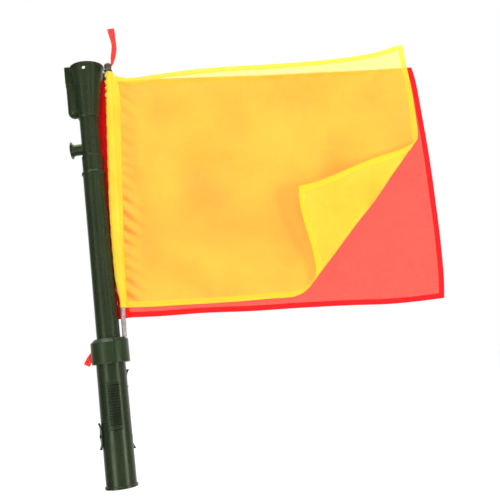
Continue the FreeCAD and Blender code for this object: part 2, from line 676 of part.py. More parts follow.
def air_stop_disc():
    low, top = dims.stop_low_z, dims.stop_low_z + dims.stop_thick
    turned_piece("air_stop_disc", [(0, low), (dims.stop_rad, low), (dims.stop_rad, top), (0, top)])


# ------------------------------------------------------------------ horn neck and mouthpiece
def horn_neck():
    body = new_body("HornNeck")
    tail, outer, edge = dims.neck_tail_rad, dims.neck_rad, dims.neck_edge
    step, shoulder = dims.neck_step_z, dims.bell_low_z - dims.neck_bell_gap
    turn(body, "NeckWall", [
        (dims.neck_bore, dims.neck_low_z), (tail, dims.neck_low_z), *seal_groove("neck", tail),
        (tail, step), (outer - edge, step), (outer, step + edge), (outer, shoulder),
        (dims.neck_spigot_rad, shoulder), (dims.neck_spigot_rad, dims.neck_end_z),
        (dims.neck_bore, dims.neck_end_z)])
    hole = cylinder("MouthHole", dims.mouth_hole_rad, dims.mouth_hole_deep,
                    placed(0, 0, dims.mouth_z, LEFT))
    keep(cut("HornNeckBored", body, hole), "horn_neck")
    seal_ring("neck", "neck_seal")


def mouthpiece():
    """Flared stem and cup along -X, saddled to the neck, with a boss in its hole."""
    stem = new_body("MouthpieceStem")
    face, flare = dims.mouth_face_x, dims.mouth_flare_x
    turn(stem, "MouthStemTurned", [
        (dims.mouth_bore, dims.mouth_in_x), (dims.mouth_stem_rad, dims.mouth_in_x),
        (dims.mouth_stem_rad, flare, dims.mouth_flare_arc, CW),
        (dims.mouth_flare_rad, face - dims.mouth_rim_wide), (dims.mouth_flare_rad, face),
        (dims.mouth_cup_rad, face, dims.mouth_cup_arc, CCW),
        (dims.mouth_bore, flare - dims.mouth_cup_sink)])
    stem.Placement = placed(0, 0, dims.mouth_z, LEFT)
    doc.recompute()
    saddle = cylinder("NeckSaddle", dims.neck_rad + dims.saddle_gap, dims.saddle_len,
                      placed(0, 0, dims.mouth_z - dims.saddle_len / 2))
    boss = cylinder("MouthBoss", dims.mouth_boss_rad, dims.mouth_boss_len,
                    placed(-dims.mouth_in_x, 0, dims.mouth_z, LEFT))
    bore = cylinder("MouthBossBore", dims.mouth_bore, dims.mouth_bore_deep,
                    placed(-dims.mouth_in_x + dims.mouth_bore_inset, 0, dims.mouth_z, LEFT))
    saddled = cut("MouthpieceSaddled", stem, saddle)
    keep(cut("MouthpieceBored", fuse("MouthpieceJoined", saddled, boss), bore), "mouthpiece")


# ------------------------------------------------------------------ reed
def reed_block():
    """Disc with the shallot hanging under it."""
    body = new_body("ReedBlock")
    disc_low, shallot_low = dims.reed_disc_z, dims.shallot_low_z
    disc_top, shallot_top = disc_low + dims.reed_disc_thick, disc_low + dims.shallot_overlap
    turn(body, "ReedDisc", [(0, disc_low), (dims.reed_disc_rad, disc_low),
                            (dims.reed_disc_rad, disc_top), (0, disc_top)])
    turn(body, "Shallot", [(0, shallot_low), (dims.shallot_rad, shallot_low),
                           (dims.shallot_rad, shallot_top), (0, shallot_top)])
    # the shallot's -X side is planed away so that the leaf has a flat to beat on
    wide, below = dims.shallot_cut_wide, dims.shallot_cut_below
    cut_x = dims.shallot_flat_x - wide
    flat = box("ShallotFlat", wide, wide, disc_low - shallot_low + below,
               placed(cut_x, -wide / 2, shallot_low - below))
    pocket = box("LeafPocket", wide, dims.leaf_pocket_wide, dims.leaf_pocket_high,
                 placed(cut_x, -dims.leaf_pocket_wide / 2, disc_low - dims.leaf_pocket_drop))
    bore = cylinder("ShallotBore", dims.shallot_bore, dims.shallot_bore_len,
                    placed(dims.shallot_bore_x, 0, shallot_low + dims.shallot_bore_up))
    keep(cut("ReedBlockCut", body, flat, pocket, bore), "reed_block")


def reed_tongue():
    x, far_x = dims.leaf_x, dims.leaf_x - dims.leaf_thick
    low, top = dims.leaf_low_z, dims.leaf_top_z
    leaf = slab("ReedTongue", [(x, low), (x, top), (far_x, top), (far_x, low)], dims.leaf_wide)
    hole = cylinder("LeafHole", dims.reed_screw_rad + dims.leaf_hole_gap, dims.leaf_hole_len,
                    placed(dims.leaf_hole_x, 0, dims.reed_screw_z, LEFT))
    keep(cut("ReedTonguePierced", leaf, hole), "reed_tongue")


def reed_screw():
    """Plain-headed screw that holds the leaf."""
    shank = cylinder("ReedScrewShank", dims.reed_screw_rad, dims.reed_screw_len,
                     placed(dims.reed_screw_x, 0, dims.reed_screw_z, LEFT))
    head = cylinder("ReedScrewHead", dims.reed_head_rad, dims.reed_head_high,
                    placed(dims.reed_head_x, 0, dims.reed_screw_z, LEFT))
    keep(fuse("ReedScrew", shank, head), "reed_screw")


# ------------------------------------------------------------------ bell
def bell_skin(body, name, gap):
    """Outside cone of the bell, widened by gap; its mouth is shifted towards +X."""
    loft(body, name, "Additive",
         low=(dims.bell_low_z, 0.0, dims.bell_low_rad + gap),
         top=(dims.bell_top_z, dims.bell_shift, dims.bell_top_rad + gap))


def horn_bell():
    body = new_body("HornBell")
    low, lip_rad = dims.bell_low_z, dims.bell_lip_rad
    bell_skin(body, "BellSkin", 0.0)
    for name, base, high, shift, radius in (
            ("BellFoot", low, dims.bell_foot_high, 0.0, dims.bell_low_rad + dims.bell_foot_out),
            ("BellLip", dims.bell_lip_z, dims.bell_top_z - dims.bell_lip_z, dims.bell_shift,
             lip_rad)):
        sketch = circle_sketch(body, name + "Sketch", base, shift, radius)
        rim = body.newObject("PartDesign::Pad", name)
        rim.Profile = sketch
        bind(rim, "Length", high)
        doc.recompute()

    def on_lip(edge):
        return (edge.Curve.TypeId == "Part::GeomCircle"
                and abs(edge.Curve.Radius - lip_rad.value) < 1e-6)

    round_edges(body, "BellRounds", dims.bell_lip_round, on_lip)
    loft(body, "BellHollow", "Subtractive",
         low=(dims.bell_socket_z, dims.bell_throat_shift, dims.bell_throat_rad),
         top=(dims.bell_top_z + dims.bell_hollow_over, dims.bell_shift,
              dims.bell_top_rad - dims.bell_wall))
    socket_low = low - dims.bell_socket_below
    socket_top = dims.bell_socket_z + dims.bell_socket_overlap
    turn(body, "BellSocket", [(0, socket_low), (dims.bell_socket_rad, socket_low),
                              (dims.bell_socket_rad, socket_top), (0, socket_top)], groove=True)
    eye = cylinder("LanyardHole", dims.lanyard_rad, dims.lanyard_len,
                   placed(dims.lanyard_x, dims.lanyard_y, dims.lanyard_z, FRONT))
    keep(cut("HornBellBored", body, eye), "horn_bell")


# ------------------------------------------------------------------ whistle on the bell's side
def whistle_cell():
    """Upright cylinder with a spherical lower end."""
    body = new_body("WhistleCell")
    radius, low, waist = dims.whistle_rad, dims.whistle_low_z, dims.whistle_waist_z
    turn(body, "WhistleCellTurned", [
        (0, low, radius, CCW), (radius, low + radius), (radius, waist), (0, waist)])
    body.Placement = placed(-dims.whistle_x, 0, 0)
    return body


def whistle_beak():
    """Flat-sided upper part; the two upright edges of its left face are rounded."""
    waist, top, corner = dims.whistle_waist_z, dims.whistle_top_z, dims.whistle_corner
    inner, outer, low = dims.whistle_flat_in_x, dims.whistle_flat_x, waist - dims.whistle_beak_drop
    body = slab("WhistleBeak", [
        (-inner, low), (-inner, top), (-(outer - corner), top, corner, CCW),
        (-outer, top - corner), (-outer, waist + dims.whistle_flat_up),
        (-(outer - dims.whistle_flat_taper), low)], dims.whistle_flat_wide)

    def upright_on_left_face(edge):
        if len(edge.Vertexes) != 2:
            return False
        first, last = (vertex.Point for vertex in edge.Vertexes)
        return (abs(first.x - last.x) < 1.2 and abs(first.y - last.y) < 0.01
                and edge.BoundBox.ZLength > 15 and min(first.x, last.x) < -26)

    round_edges(body, "WhistleBeakRound", dims.whistle_round, upright_on_left_face)
    return body


def bell_trims():
    """Outside of the bell, a little larger, to trim the whistle to a saddle."""
    cone = new_body("BellTrim")
    bell_skin(cone, "BellTrimLoft", dims.trim_gap)
    lip = cylinder("BellTrimLip", dims.bell_lip_rad + dims.trim_gap, dims.trim_lip_high,
                   placed(dims.bell_shift, 0, dims.bell_lip_z - dims.trim_over))
    foot = cylinder("BellTrimFoot", dims.bell_low_rad + dims.bell_foot_out + dims.trim_gap,
                    dims.trim_foot_below + dims.bell_foot_high + dims.trim_over,
                    placed(0, 0, dims.bell_low_z - dims.trim_foot_below))
    return cone, lip, foot


def whistle_body():
    blank = fuse("WhistleBlank", whistle_cell(), whistle_beak())
    trims = bell_trims()
    cavity = cylinder("WhistleCavity", dims.whistle_cell_rad, dims.cavity_high,
                      placed(-dims.cavity_x, 0, dims.cavity_z))
    windway = box("WhistleWindway", dims.windway_thick, dims.windway_wide, dims.windway_high,
                  placed(dims.windway_x, -dims.windway_wide / 2,
                         dims.whistle_waist_z - dims.windway_drop))
    nick_low = dims.whistle_waist_z - dims.nick_drop
    nick = slab("WhistleNick", [(x, nick_low + up) for x, up in WHISTLE_NICK], dims.nick_wide)
    keep(cut("WhistleShaped", blank, *trims, cavity, windway, nick), "whistle_body")


def whistle_fipple():
    """Block in the upper wind-way that leaves a slit along the outer wall."""
    keep(box("WhistleFipple", dims.fipple_thick, dims.fipple_wide, dims.fipple_high,
             placed(dims.fipple_x, -dims.fipple_wide / 2, dims.fipple_z)), "whistle_fipple")


# ------------------------------------------------------------------ flag rods
def flag_rod(colour):
    """Hollow rod."""
    low, end = dims.rod_low, dims.rod_end
    turned_piece(colour + "_rod", [
        (dims.rod_bore, low), (dims.rod_rad, low), (dims.rod_rad, end), (dims.rod_bore, end)],
        rod_placement(colour))


def rod_foot(colour):
    """Pin below for the collar socket, a shoulder, and a plug up inside the rod."""
    pin, pin_low, step = dims.foot_pin_rad, dims.foot_pin_low, dims.foot_step
    shoulder = dims.rod_low - dims.foot_gap
    turned_piece(colour + "_rod_foot", [
        (0, pin_low), (pin - dims.foot_pin_edge_in, pin_low),
        (pin, pin_low + dims.foot_pin_edge_up), (pin, step),
        (dims.rod_rad - dims.foot_edge_in, step), (dims.rod_rad, step + dims.foot_edge_up),
        (dims.rod_rad, shoulder), (dims.foot_plug_rad, shoulder),
        (dims.foot_plug_rad, dims.foot_plug_end), (0, dims.foot_plug_end)],
        rod_placement(colour))


def rod_cap(colour):
    """Acorn knob: thin skirt, waist, dome."""
    low, skirt, dome_rad = dims.knob_low, dims.knob_skirt_rad, dims.knob_dome_rad
    dome_low, ceiling = low + dims.knob_dome_up, dims.rod_end + dims.knob_gap
    dome_high = dims.knob_top - dome_low
    dome_arc = (dome_high * dome_high + dome_rad * dome_rad) / (dome_high * 2)
    turned_piece(colour + "_rod_cap", [
        (dims.knob_bore, low), (skirt - dims.knob_edge_in, low),
        (skirt, low + dims.knob_edge_up),
        (skirt - dims.knob_skirt_in, low + dims.knob_skirt_up, dims.knob_skirt_arc, CW),
        (dims.knob_waist_rad, low + dims.knob_waist_up, dims.knob_waist_arc, CCW),
        (dome_rad, dome_low, dome_arc, CCW), (0, dims.knob_top), (0, ceiling),
        (dims.knob_bore, ceiling)], rod_placement(colour))


# ------------------------------------------------------------------ cloth
def hemmed_cloth(colour, *sheets):
    """Join the sheets to a tubular hem round the rod and bore it through."""
    name, over = colour.title(), dims.hem_bore_over
    low = dim_of(colour, "low")
    length = dim_of(colour, "top") - low
    hem = cylinder(name + "Hem", dims.hem_rad, length, along(colour, low))
    bore = cylinder(name + "HemBore", dims.hem_bore, length + over * 2, along(colour, low - over))
    blank = fuse(name + "ClothBlank", *sheets, hem)
    keep(cut(name + "Cloth", blank, bore), colour + "_cloth")


def yellow_flap():
    """Folded corner: X along the crease, the tip tilted forward off the sheet."""
    run_x, run_z = CREASE_TOP[0] - CREASE_LOW[0], CREASE_TOP[1] - CREASE_LOW[1]
    length = math.hypot(run_x, run_z)
    unit_x, unit_z = run_x / length, run_z / length
    tip_x, tip_z = FOLDED_TIP[0] - CREASE_LOW[0], FOLDED_TIP[1] - CREASE_LOW[1]
    tip = (tip_x * unit_x + tip_z * unit_z, -tip_x * unit_z + tip_z * unit_x)
    crease_turn = FreeCAD.Rotation(Vector(0, 1, 0), -math.degrees(math.atan2(unit_z, unit_x)))
    tip_turn = FreeCAD.Rotation(Vector(1, 0, 0), dims.flap_tilt.value)
    base = Vector(CREASE_LOW[0], (dims.yellow_base_y - dims.flap_forward).value, CREASE_LOW[1])
    return slab("YellowFlap", [(0.0, 0.0), (length, 0.0), tip], dims.cloth_thick,
                FreeCAD.Placement(base, crease_turn.multiply(tip_turn)))


def yellow_cloth():
    """Upright sheet through its rod; the lower outer corner is folded over the front."""
    sheet = slab("YellowMain", YELLOW_OUTLINE, dims.cloth_thick, placed(0, dims.yellow_base_y, 0))
    hemmed_cloth("yellow", sheet, yellow_flap())


def red_cloth():
    """Sheet in the plane of its own rod, which leans back."""
    lean_back = math.degrees(math.atan(dims.red_lean_y.value))
    plane = placed(0, dims.red_base_y, dims.rod_base_z)
    plane.Rotation = FreeCAD.Rotation(Vector(1, 0, 0), -lean_back)
    hemmed_cloth("red", slab("RedMain", RED_OUTLINE, dims.cloth_thick, plane))


def ribbon(label, outline, y):
    keep(slab(label, outline, dims.ribbon_thick, placed(0, y, 0)), label)


# ------------------------------------------------------------------ build, check, export
def build():
    case_tube()
    tube_spacer("tube_spacer_low", dims.spacer_low_z)
    tube_spacer("tube_spacer_top", dims.spacer_top_z)
    handle_shell()
    grip_pad("front_grip_pad", dims.pad_azimuth)
    grip_pad("back_grip_pad", dims.pad_azimuth + 180.0)
    rod_socket_collar()
    collar_band()
    collar_screw()
    end_cap()
    for kind in CLEAT_SCREW_Z:
        cord_cleat(kind)
    cleat_screws()
    joint_sleeve()
    air_stop_disc()
    horn_neck()
    mouthpiece()
    reed_block()
    reed_tongue()
    horn_bell()
    whistle_body()
    whistle_fipple()
    reed_screw()
    for colour in ("yellow", "red"):
        flag_rod(colour)
        rod_foot(colour)
        rod_cap(colour)
    yellow_cloth()
    red_cloth()
    ribbon("top_ribbon", TOP_RIBBON, dims.yellow_base_y)
    ribbon("collar_ribbon", COLLAR_RIBBON, dims.collar_ribbon_y)
    doc.recompute()


def check():
    faults = []
    for obj in doc.Objects:
        if any(word in str(state) for state in obj.State for word in ("Invalid", "Error")):
            faults.append(f"{obj.Name} {obj.State}")
    for obj in pieces:
        if obj.Shape.isNull() or not obj.Shape.isValid() or not obj.Shape.Solids:
            faults.append(f"{obj.Label} has no valid solid")
    if faults:
        raise SystemExit("failed: " + "; ".join(faults))


def export():
    os.makedirs("parts", exist_ok=True)
    for name in os.listdir("parts"):
        if name.endswith(".step"):
            os.remove(os.path.join("parts", name))
    for obj in pieces:
        obj.Shape.exportStep(os.path.join("parts", obj.Label + ".step"))


build()
check()
export()
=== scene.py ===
# A yellow and a red flag, each on its own rod, standing in a moulded holder.
# Frame: +z runs up the rods, +x from the rods to the free edges of the flags, and the
# camera looks from -y, so "front" is -y and "right" is +x. The yellow flag hangs in front.
# The solid parts come from CAD; the cloth and ribbons are built here.
# Lengths are in mm unless a comment says metres.
import json
import math
import bpy
import numpy as np
from mathutils import Matrix, Vector


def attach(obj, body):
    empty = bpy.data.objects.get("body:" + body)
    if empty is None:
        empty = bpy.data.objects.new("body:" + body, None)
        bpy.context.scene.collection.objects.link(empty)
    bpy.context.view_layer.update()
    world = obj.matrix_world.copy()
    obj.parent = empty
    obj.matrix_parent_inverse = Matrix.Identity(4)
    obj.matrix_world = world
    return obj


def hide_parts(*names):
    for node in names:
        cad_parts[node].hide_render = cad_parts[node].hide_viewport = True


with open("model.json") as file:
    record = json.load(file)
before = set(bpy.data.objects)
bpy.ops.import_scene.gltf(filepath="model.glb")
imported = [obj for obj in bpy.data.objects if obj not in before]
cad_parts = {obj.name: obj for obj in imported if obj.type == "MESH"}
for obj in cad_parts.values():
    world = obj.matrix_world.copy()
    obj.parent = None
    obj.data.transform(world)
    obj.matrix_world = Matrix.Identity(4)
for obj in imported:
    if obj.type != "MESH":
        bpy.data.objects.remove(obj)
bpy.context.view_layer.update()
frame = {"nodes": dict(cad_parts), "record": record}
MM = 0.001                                        # metres in a millimetre

# ------------------------------------------------------------------ driving sizes
CAMERA_AT = np.array([198.2, -913.0, 133.2])
CAMERA_RIGHT = (0.99231, 0.01990, -0.12216)
CAMERA_UP = (0.12377, -0.15950, 0.97941)
CAMERA_AHEAD = (0.0, 0.98700, 0.16074)

GRID_STEP = 2.4            # mesh spacing of the cloth
SLEEVE_STEP = GRID_STEP * 0.9
HEM = 7.0                                         # width of the folded hems
HEM_SEW = 6.1                                     # hem stitching, from the edge
SEWN_UNDER = 0.8                                  # sheet tucked into the sleeve's flat strip
HEM_EXTRA = 1.7                                   # cloth layers a hem adds, as seen by light
SLEEVE_TOP = 553.6
SLEEVE_RADIUS = 3.88                              # sleeve's half depth at the rod
SEAM_REACH = 3.95                                 # nearest the seam comes to the rod's axis
SEAM_HALF = 0.66                                  # half depth of the sleeve at its seam
SLEEVE_CLOTH = 0.42                               # thickness of the sleeve's wall


class Rod:
    """Straight rod through base; the slopes are x and y gained per mm of z."""
    def __init__(self, base, slope_x, slope_y):
        self.base = np.array(base)
        direction = np.array([slope_x, slope_y, 1.0])
        self.direction = direction / np.linalg.norm(direction)

    def at(self, axis, z):
        run = (z - self.base[2]) * self.direction[axis] / self.direction[2]
        return self.base[axis] + run

    def x(self, z):
        return self.at(0, z)

    def y(self, z):
        return self.at(1, z)


RED_SLOPE = 0.048                                 # the red rod leans back
RED_LEAN = math.atan(RED_SLOPE)
YELLOW_ROD = Rod((22.1, -5.0, 188.0), 0.0305, 0.0)
RED_ROD = Rod((20.1, 5.0, 188.0), 0.0071, RED_SLOPE)
YELLOW_Y = YELLOW_ROD.base[1]                     # plane of the yellow sheet


# ------------------------------------------------------------------ curves and fields
def smoothstep(x, start, end):
    t = np.clip((np.asarray(x, float) - start) / (end - start), 0, 1)
    return t * t * (3 - 2 * t)


def curve(points):
    """Smooth curve through points: a function of 0..1 by arc length, and its length."""
    points = np.array(points, float)
    steps = np.linalg.norm(np.diff(points, axis=0), axis=1)
    place = np.r_[0, np.cumsum(steps)]
    slope = np.gradient(points, place, axis=0)

    def at(t):
        want = np.clip(np.asarray(t, float), 0, 1) * place[-1]
        i = np.clip(np.searchsorted(place, want, side="right") - 1, 0, len(place) - 2)
        gap = (place[i + 1] - place[i])[..., None]
        f = ((want - place[i])[..., None]) / gap
        return ((2 * f**3 - 3 * f**2 + 1) * points[i] + (f**3 - 2 * f**2 + f) * gap * slope[i]
                + (3 * f**2 - 2 * f**3) * points[i + 1] + (f**3 - f**2) * gap * slope[i + 1])
    return at, place[-1]


def smooth_table(rows):
    """Function giving column 2 from column 1 of a rising table."""
    fine = curve(rows)[0](np.linspace(0, 1, 600))
    return lambda z: np.interp(z, fine[:, 0], fine[:, 1])


def value_noise(across, up, seed, cells):
    """Smooth random field in -1..1 over coordinates in 0..1."""
    grid = np.random.default_rng(seed).uniform(-1, 1, (cells[0] + 3, cells[1] + 3))
    x, y = across * cells[0], up * cells[1]
    i, j = np.floor(x).astype(int), np.floor(y).astype(int)
    fx, fy = x - i, y - j
    fx, fy = fx * fx * (3 - 2 * fx), fy * fy * (3 - 2 * fy)
    i, j = np.clip(i, 0, cells[0] + 1), np.clip(j, 0, cells[1] + 1)
    return ((grid[i, j] * (1 - fx) + grid[i + 1, j] * fx) * (1 - fy)
            + (grid[i, j + 1] * (1 - fx) + grid[i + 1, j + 1] * fx) * fy)


def patch(left, right, bottom, top, across, up):
    """Grid filling four side curves: left and right run up, bottom and top run right."""
    a, b = across[:, None, None], up[None, :, None]
    sides = ((1 - a) * left(up)[None] + a * right(up)[None]
             + (1 - b) * bottom(across)[:, None] + b * top(across)[:, None])
    return sides - ((1 - a) * (1 - b) * left(0.0) + a * (1 - b) * right(0.0)
                    + (1 - a) * b * left(1.0) + a * b * right(1.0))


def graded(length, hem_at_start):
    """Positions 0..1 along a side, finer over the hem at its end (and its start)."""
    hem = [0.0, 0.35, 1.2, *np.linspace(2.4, HEM - 1.0, 3), HEM - 0.3, HEM + 0.3, HEM + 1.1]
    first = hem if hem_at_start else [0.0]
    last = [length - x for x in hem][::-1]
    count = max(2, int(round((last[0] - first[-1]) / GRID_STEP)))
    middle = list(np.linspace(first[-1], last[0], count + 1))[1:-1]
    return np.array(first + middle + last) / length


# ------------------------------------------------------------------ meshes
def make_mesh(name, verts, faces, cloth=None, smooth=True):
    """Mesh object from mm. cloth fills the attribute cl that the fabrics read."""
    mesh = bpy.data.meshes.new(name)
    verts = (np.asarray(verts, float) * MM).tolist()
    mesh.from_pydata(verts, [], [tuple(int(i) for i in face) for face in faces])
    mesh.validate()
    mesh.update()
    if cloth is not None:
        attribute = mesh.attributes.new("cl", "FLOAT_VECTOR", "POINT")
        attribute.data.foreach_set("vector", np.asarray(cloth, np.float32).ravel())
    if smooth:
        mesh.polygons.foreach_set("use_smooth", [True] * len(mesh.polygons))
    ob = bpy.data.objects.new(name, mesh)
    bpy.context.scene.collection.objects.link(ob)
    return ob


def grid_quads(ids):
    corners = [ids[:-1, :-1], ids[1:, :-1], ids[1:, 1:], ids[:-1, 1:]]
    return np.stack(corners, -1).reshape(-1, 4)


def grid_normals(points):
    normal = np.cross(np.gradient(points, axis=0), np.gradient(points, axis=1))
    return normal / np.maximum(np.linalg.norm(normal, axis=2, keepdims=True), 1e-9)


class Shells:
    """Collects closed shells into one mesh."""
    def __init__(self):
        self.verts, self.faces, self.cloth = [], [], []
        self.count = 0

    def add(self, verts, faces, cloth):
        self.verts.append(np.asarray(verts, float))
        self.faces += [tuple(i + self.count for i in face) for face in faces]
        self.cloth.append(cloth)
        self.count += len(verts)

    def add_pair(self, first, second, cloth, flip=False):
        """Two matching grids closed by a rim; flip turns every face over."""
        rows, cols = first.shape[:2]
        far = rows * cols
        ids = np.arange(far).reshape(rows, cols)
        quads = grid_quads(ids)
        turned = quads[:, ::-1]
        sides = (turned, quads + far) if flip else (quads, turned + far)
        loop = (list(ids[:, 0]) + list(ids[-1, 1:]) + list(ids[::-1, -1][1:])
                + list(ids[0, ::-1][1:-1]))
        rim = [(p, q, q + far, p + far) if flip else (q, p, p + far, q + far)
               for p, q in zip(loop, loop[1:] + loop[:1])]
        faces = [tuple(face) for side in sides for face in side] + rim
        cloth = cloth.reshape(-1, 3)
        self.add(np.r_[first.reshape(-1, 3), second.reshape(-1, 3)], faces,
                 np.r_[cloth, cloth])

    def add_sheet(self, points, half, cloth):
        """Sheet thickened by half to either side."""
        normals = grid_normals(points)
        offset = normals * np.broadcast_to(half, points.shape[:2])[..., None]
        self.add_pair(points + offset, points - offset, cloth)

    def make(self, name, material):
        ob = make_mesh(name, np.concatenate(self.verts), self.faces,
                       np.concatenate(self.cloth))
        ob.data.materials.append(MATERIALS[material])
        return ob


# ------------------------------------------------------------------ shader helpers
WHITE = (1.0, 1.0, 1.0, 1.0)


class Nodes:
    """Fills the node tree of a material or a world."""
    def __init__(self, owner, output="OutputMaterial"):
        self.owner = owner
        owner.use_nodes = True
        self.tree = owner.node_tree
        self.tree.nodes.clear()
        self.output = self.tree.nodes.new("ShaderNode" + output)

    def feed(self, socket, value):
        if isinstance(value, bpy.types.NodeSocket):
            self.tree.links.new(value, socket)
        else:
            socket.default_value = value

    def add(self, kind, inputs=None, **settings):
        """New node; inputs are values or sockets by name or index. Gives its outputs."""
        node = self.tree.nodes.new("ShaderNode" + kind)
        for key, value in settings.items():
            setattr(node, key, value)
        for key, value in (inputs or {}).items():
            self.feed(node.inputs[key], value)
        return node.outputs

    def math(self, operation, first, second=0.0, clamp=False):
        return self.add("Math", {0: first, 1: second}, operation=operation, use_clamp=clamp)[0]

    def plus(self, first, second):
        return self.math("ADD", first, second)

    def times(self, first, second):
        return self.math("MULTIPLY", first, second)

    def ridges(self, place, rate):
        """Rounded ridges, pi / rate apart."""
        return self.math("ABSOLUTE", self.math("SINE", self.times(place, rate)))

    def ramp(self, value, span, to=(0.0, 1.0)):
        return self.add("MapRange", {"Value": value, "From Min": span[0], "From Max": span[1],
                                     "To Min": to[0], "To Max": to[1]})[0]

    def mix(self, amount, first, second):
        return self.add("Mix", {0: amount, 6: first, 7: second}, data_type="RGBA")[2]

    def mix_shader(self, amount, first, second):
        return self.add("MixShader", {0: amount, 1: first, 2: second})[0]

    def noise(self, place, scale=1.0, stretch=None, detail=2, rough=0.5):
        if stretch:
            place = self.add("Mapping", {"Vector": place, "Scale": stretch})[0]
        return self.add("TexNoise", {"Vector": place, "Scale": scale, "Detail": detail,
                                     "Roughness": rough})[0]

    def bump(self, height, strength, distance):
        return self.add("Bump", {"Strength": strength, "Distance": distance,
                                 "Height": height})[0]

    def finish(self, shader):
        self.feed(self.output.inputs[0], shader)
        return self.owner


def new_material(name):
    return Nodes(bpy.data.materials.new(name))


def srgb(colour):
    """Linear RGBA from 0..255 sRGB."""
    def linear(channel):
        channel /= 255.0
        return channel / 12.92 if channel <= 0.04045 else ((channel + 0.055) / 1.055) ** 2.4
    return (*(linear(channel) for channel in colour), 1.0)


# ------------------------------------------------------------------ materials
def moulded(name, base, second, pale_scuff_and_highlight, rough=0.32, specular=0.45, peel=0.035, scratch=0.10,
            edge_scuff_and_highlight=0.5, groove=0.0):
    """Moulded plastic: slight colour drift, orange peel, hairline scratches along the
    length, smudges, and paler edges that are part scuffing and part painted highlight.
    groove is the reach (metres) of painted shade darkening narrow grooves, 0 for none."""
    mat = new_material(name)
    base, second, pale_scuff_and_highlight = srgb(base), srgb(second), srgb(pale_scuff_and_highlight)
    place = mat.add("TexCoord")["Object"]
    drift = mat.noise(place, stretch=(30, 30, 12), detail=3)
    colour = mat.mix(mat.ramp(drift, span=(0.35, 0.65)), base, second)
    speckle = mat.noise(place, scale=1400.0)
    colour = mat.mix(mat.ramp(speckle, span=(0.3, 0.7), to=(0.0, 0.04)), colour, pale_scuff_and_highlight)
    hairs = mat.noise(place, stretch=(2600, 2600, 36), detail=1)
    streaks = mat.noise(place, stretch=(700, 700, 14))
    scratches = mat.ramp(hairs, span=(0.62, 0.70))

    # edges show where the bevelled normal leaves the true one
    bevel = mat.add("Bevel", {"Radius": 0.0009}, samples=4)[0]
    normal = mat.add("NewGeometry")["Normal"]
    agree = mat.add("VectorMath", {0: bevel, 1: normal}, operation="DOT_PRODUCT")["Value"]
    edge = mat.ramp(agree, span=(0.985, 0.90))
    scuff_and_highlight_patches = mat.ramp(mat.noise(place, scale=260.0, detail=3), span=(0.42, 0.62))
    edge = mat.math("MULTIPLY", mat.times(edge, scuff_and_highlight_patches), edge_scuff_and_highlight, clamp=True)
    # pale edges: part scuffed plastic, part a painted highlight along the rounded edges
    colour = mat.mix(edge, colour, pale_scuff_and_highlight)
    # painted shade: ambient occlusion darkens the colour and weakens the specular inside narrow
    # grooves
    if groove:
        shade = mat.add("AmbientOcclusion", {"Distance": groove}, samples=6)["AO"]
        open_area = mat.ramp(shade, span=(0.40, 0.80))
        painted_groove_shade = (0.0015, 0.0025, 0.001, 1.0)
        colour = mat.mix(open_area, painted_groove_shade, colour)
        specular = mat.times(open_area, specular)

    smudge = mat.noise(place, stretch=(70, 70, 40), detail=3, rough=0.6)
    gloss = mat.ramp(smudge, span=(0.3, 0.7), to=(rough - 0.05, rough + 0.07))
    gloss = mat.plus(gloss, mat.times(scratches, scratch))
    gloss = mat.plus(gloss, mat.times(edge, 0.2))
    height = mat.plus(mat.times(mat.noise(place, scale=520.0, detail=1), 1.0),
                      mat.times(streaks, 0.10))
    height = mat.math("SUBTRACT", height, mat.times(scratches, 0.10))
    return mat.finish(mat.add("BsdfPrincipled", {
        "Base Color": colour, "Roughness": gloss, "Specular IOR Level": specular, "IOR": 1.5,
        "Normal": mat.bump(height, strength=peel, distance=0.0006)})[0])


def rubber(name, base, second):
    """Matt rubber with a fine grain."""
    mat = new_material(name)
    place = mat.add("TexCoord")["Object"]
    grain = mat.noise(place, scale=2200.0)
    drift = mat.noise(place, scale=120.0, detail=3)
    return mat.finish(mat.add("BsdfPrincipled", {
        "Base Color": mat.mix(mat.ramp(drift, span=(0.35, 0.65)), srgb(base), srgb(second)),
        "Roughness": mat.ramp(drift, span=(0.3, 0.7), to=(0.5, 0.62)),
        "Normal": mat.bump(grain, strength=0.12, distance=0.0002),
        "Specular IOR Level": 0.35})[0])


def metal(name, base, dark, rough=0.3, brushed=(60, 60, 3000), metallic=1.0):
    """Brushed metal; brushed stretches the brush marks along x, y, z."""
    mat = new_material(name)
    place = mat.add("TexCoord")["Object"]
    marks = mat.noise(place, stretch=brushed)
    spots = mat.noise(place, scale=90.0, detail=4, rough=0.6)
    return mat.finish(mat.add("BsdfPrincipled", {
        "Base Color": mat.mix(mat.ramp(spots, span=(0.35, 0.7)), srgb(base), srgb(dark)),
        "Roughness": mat.ramp(marks, span=(0.3, 0.7), to=(rough - 0.08, rough + 0.12)),
        "Normal": mat.bump(marks, strength=0.06, distance=0.0003),
        "Metallic": metallic})[0])


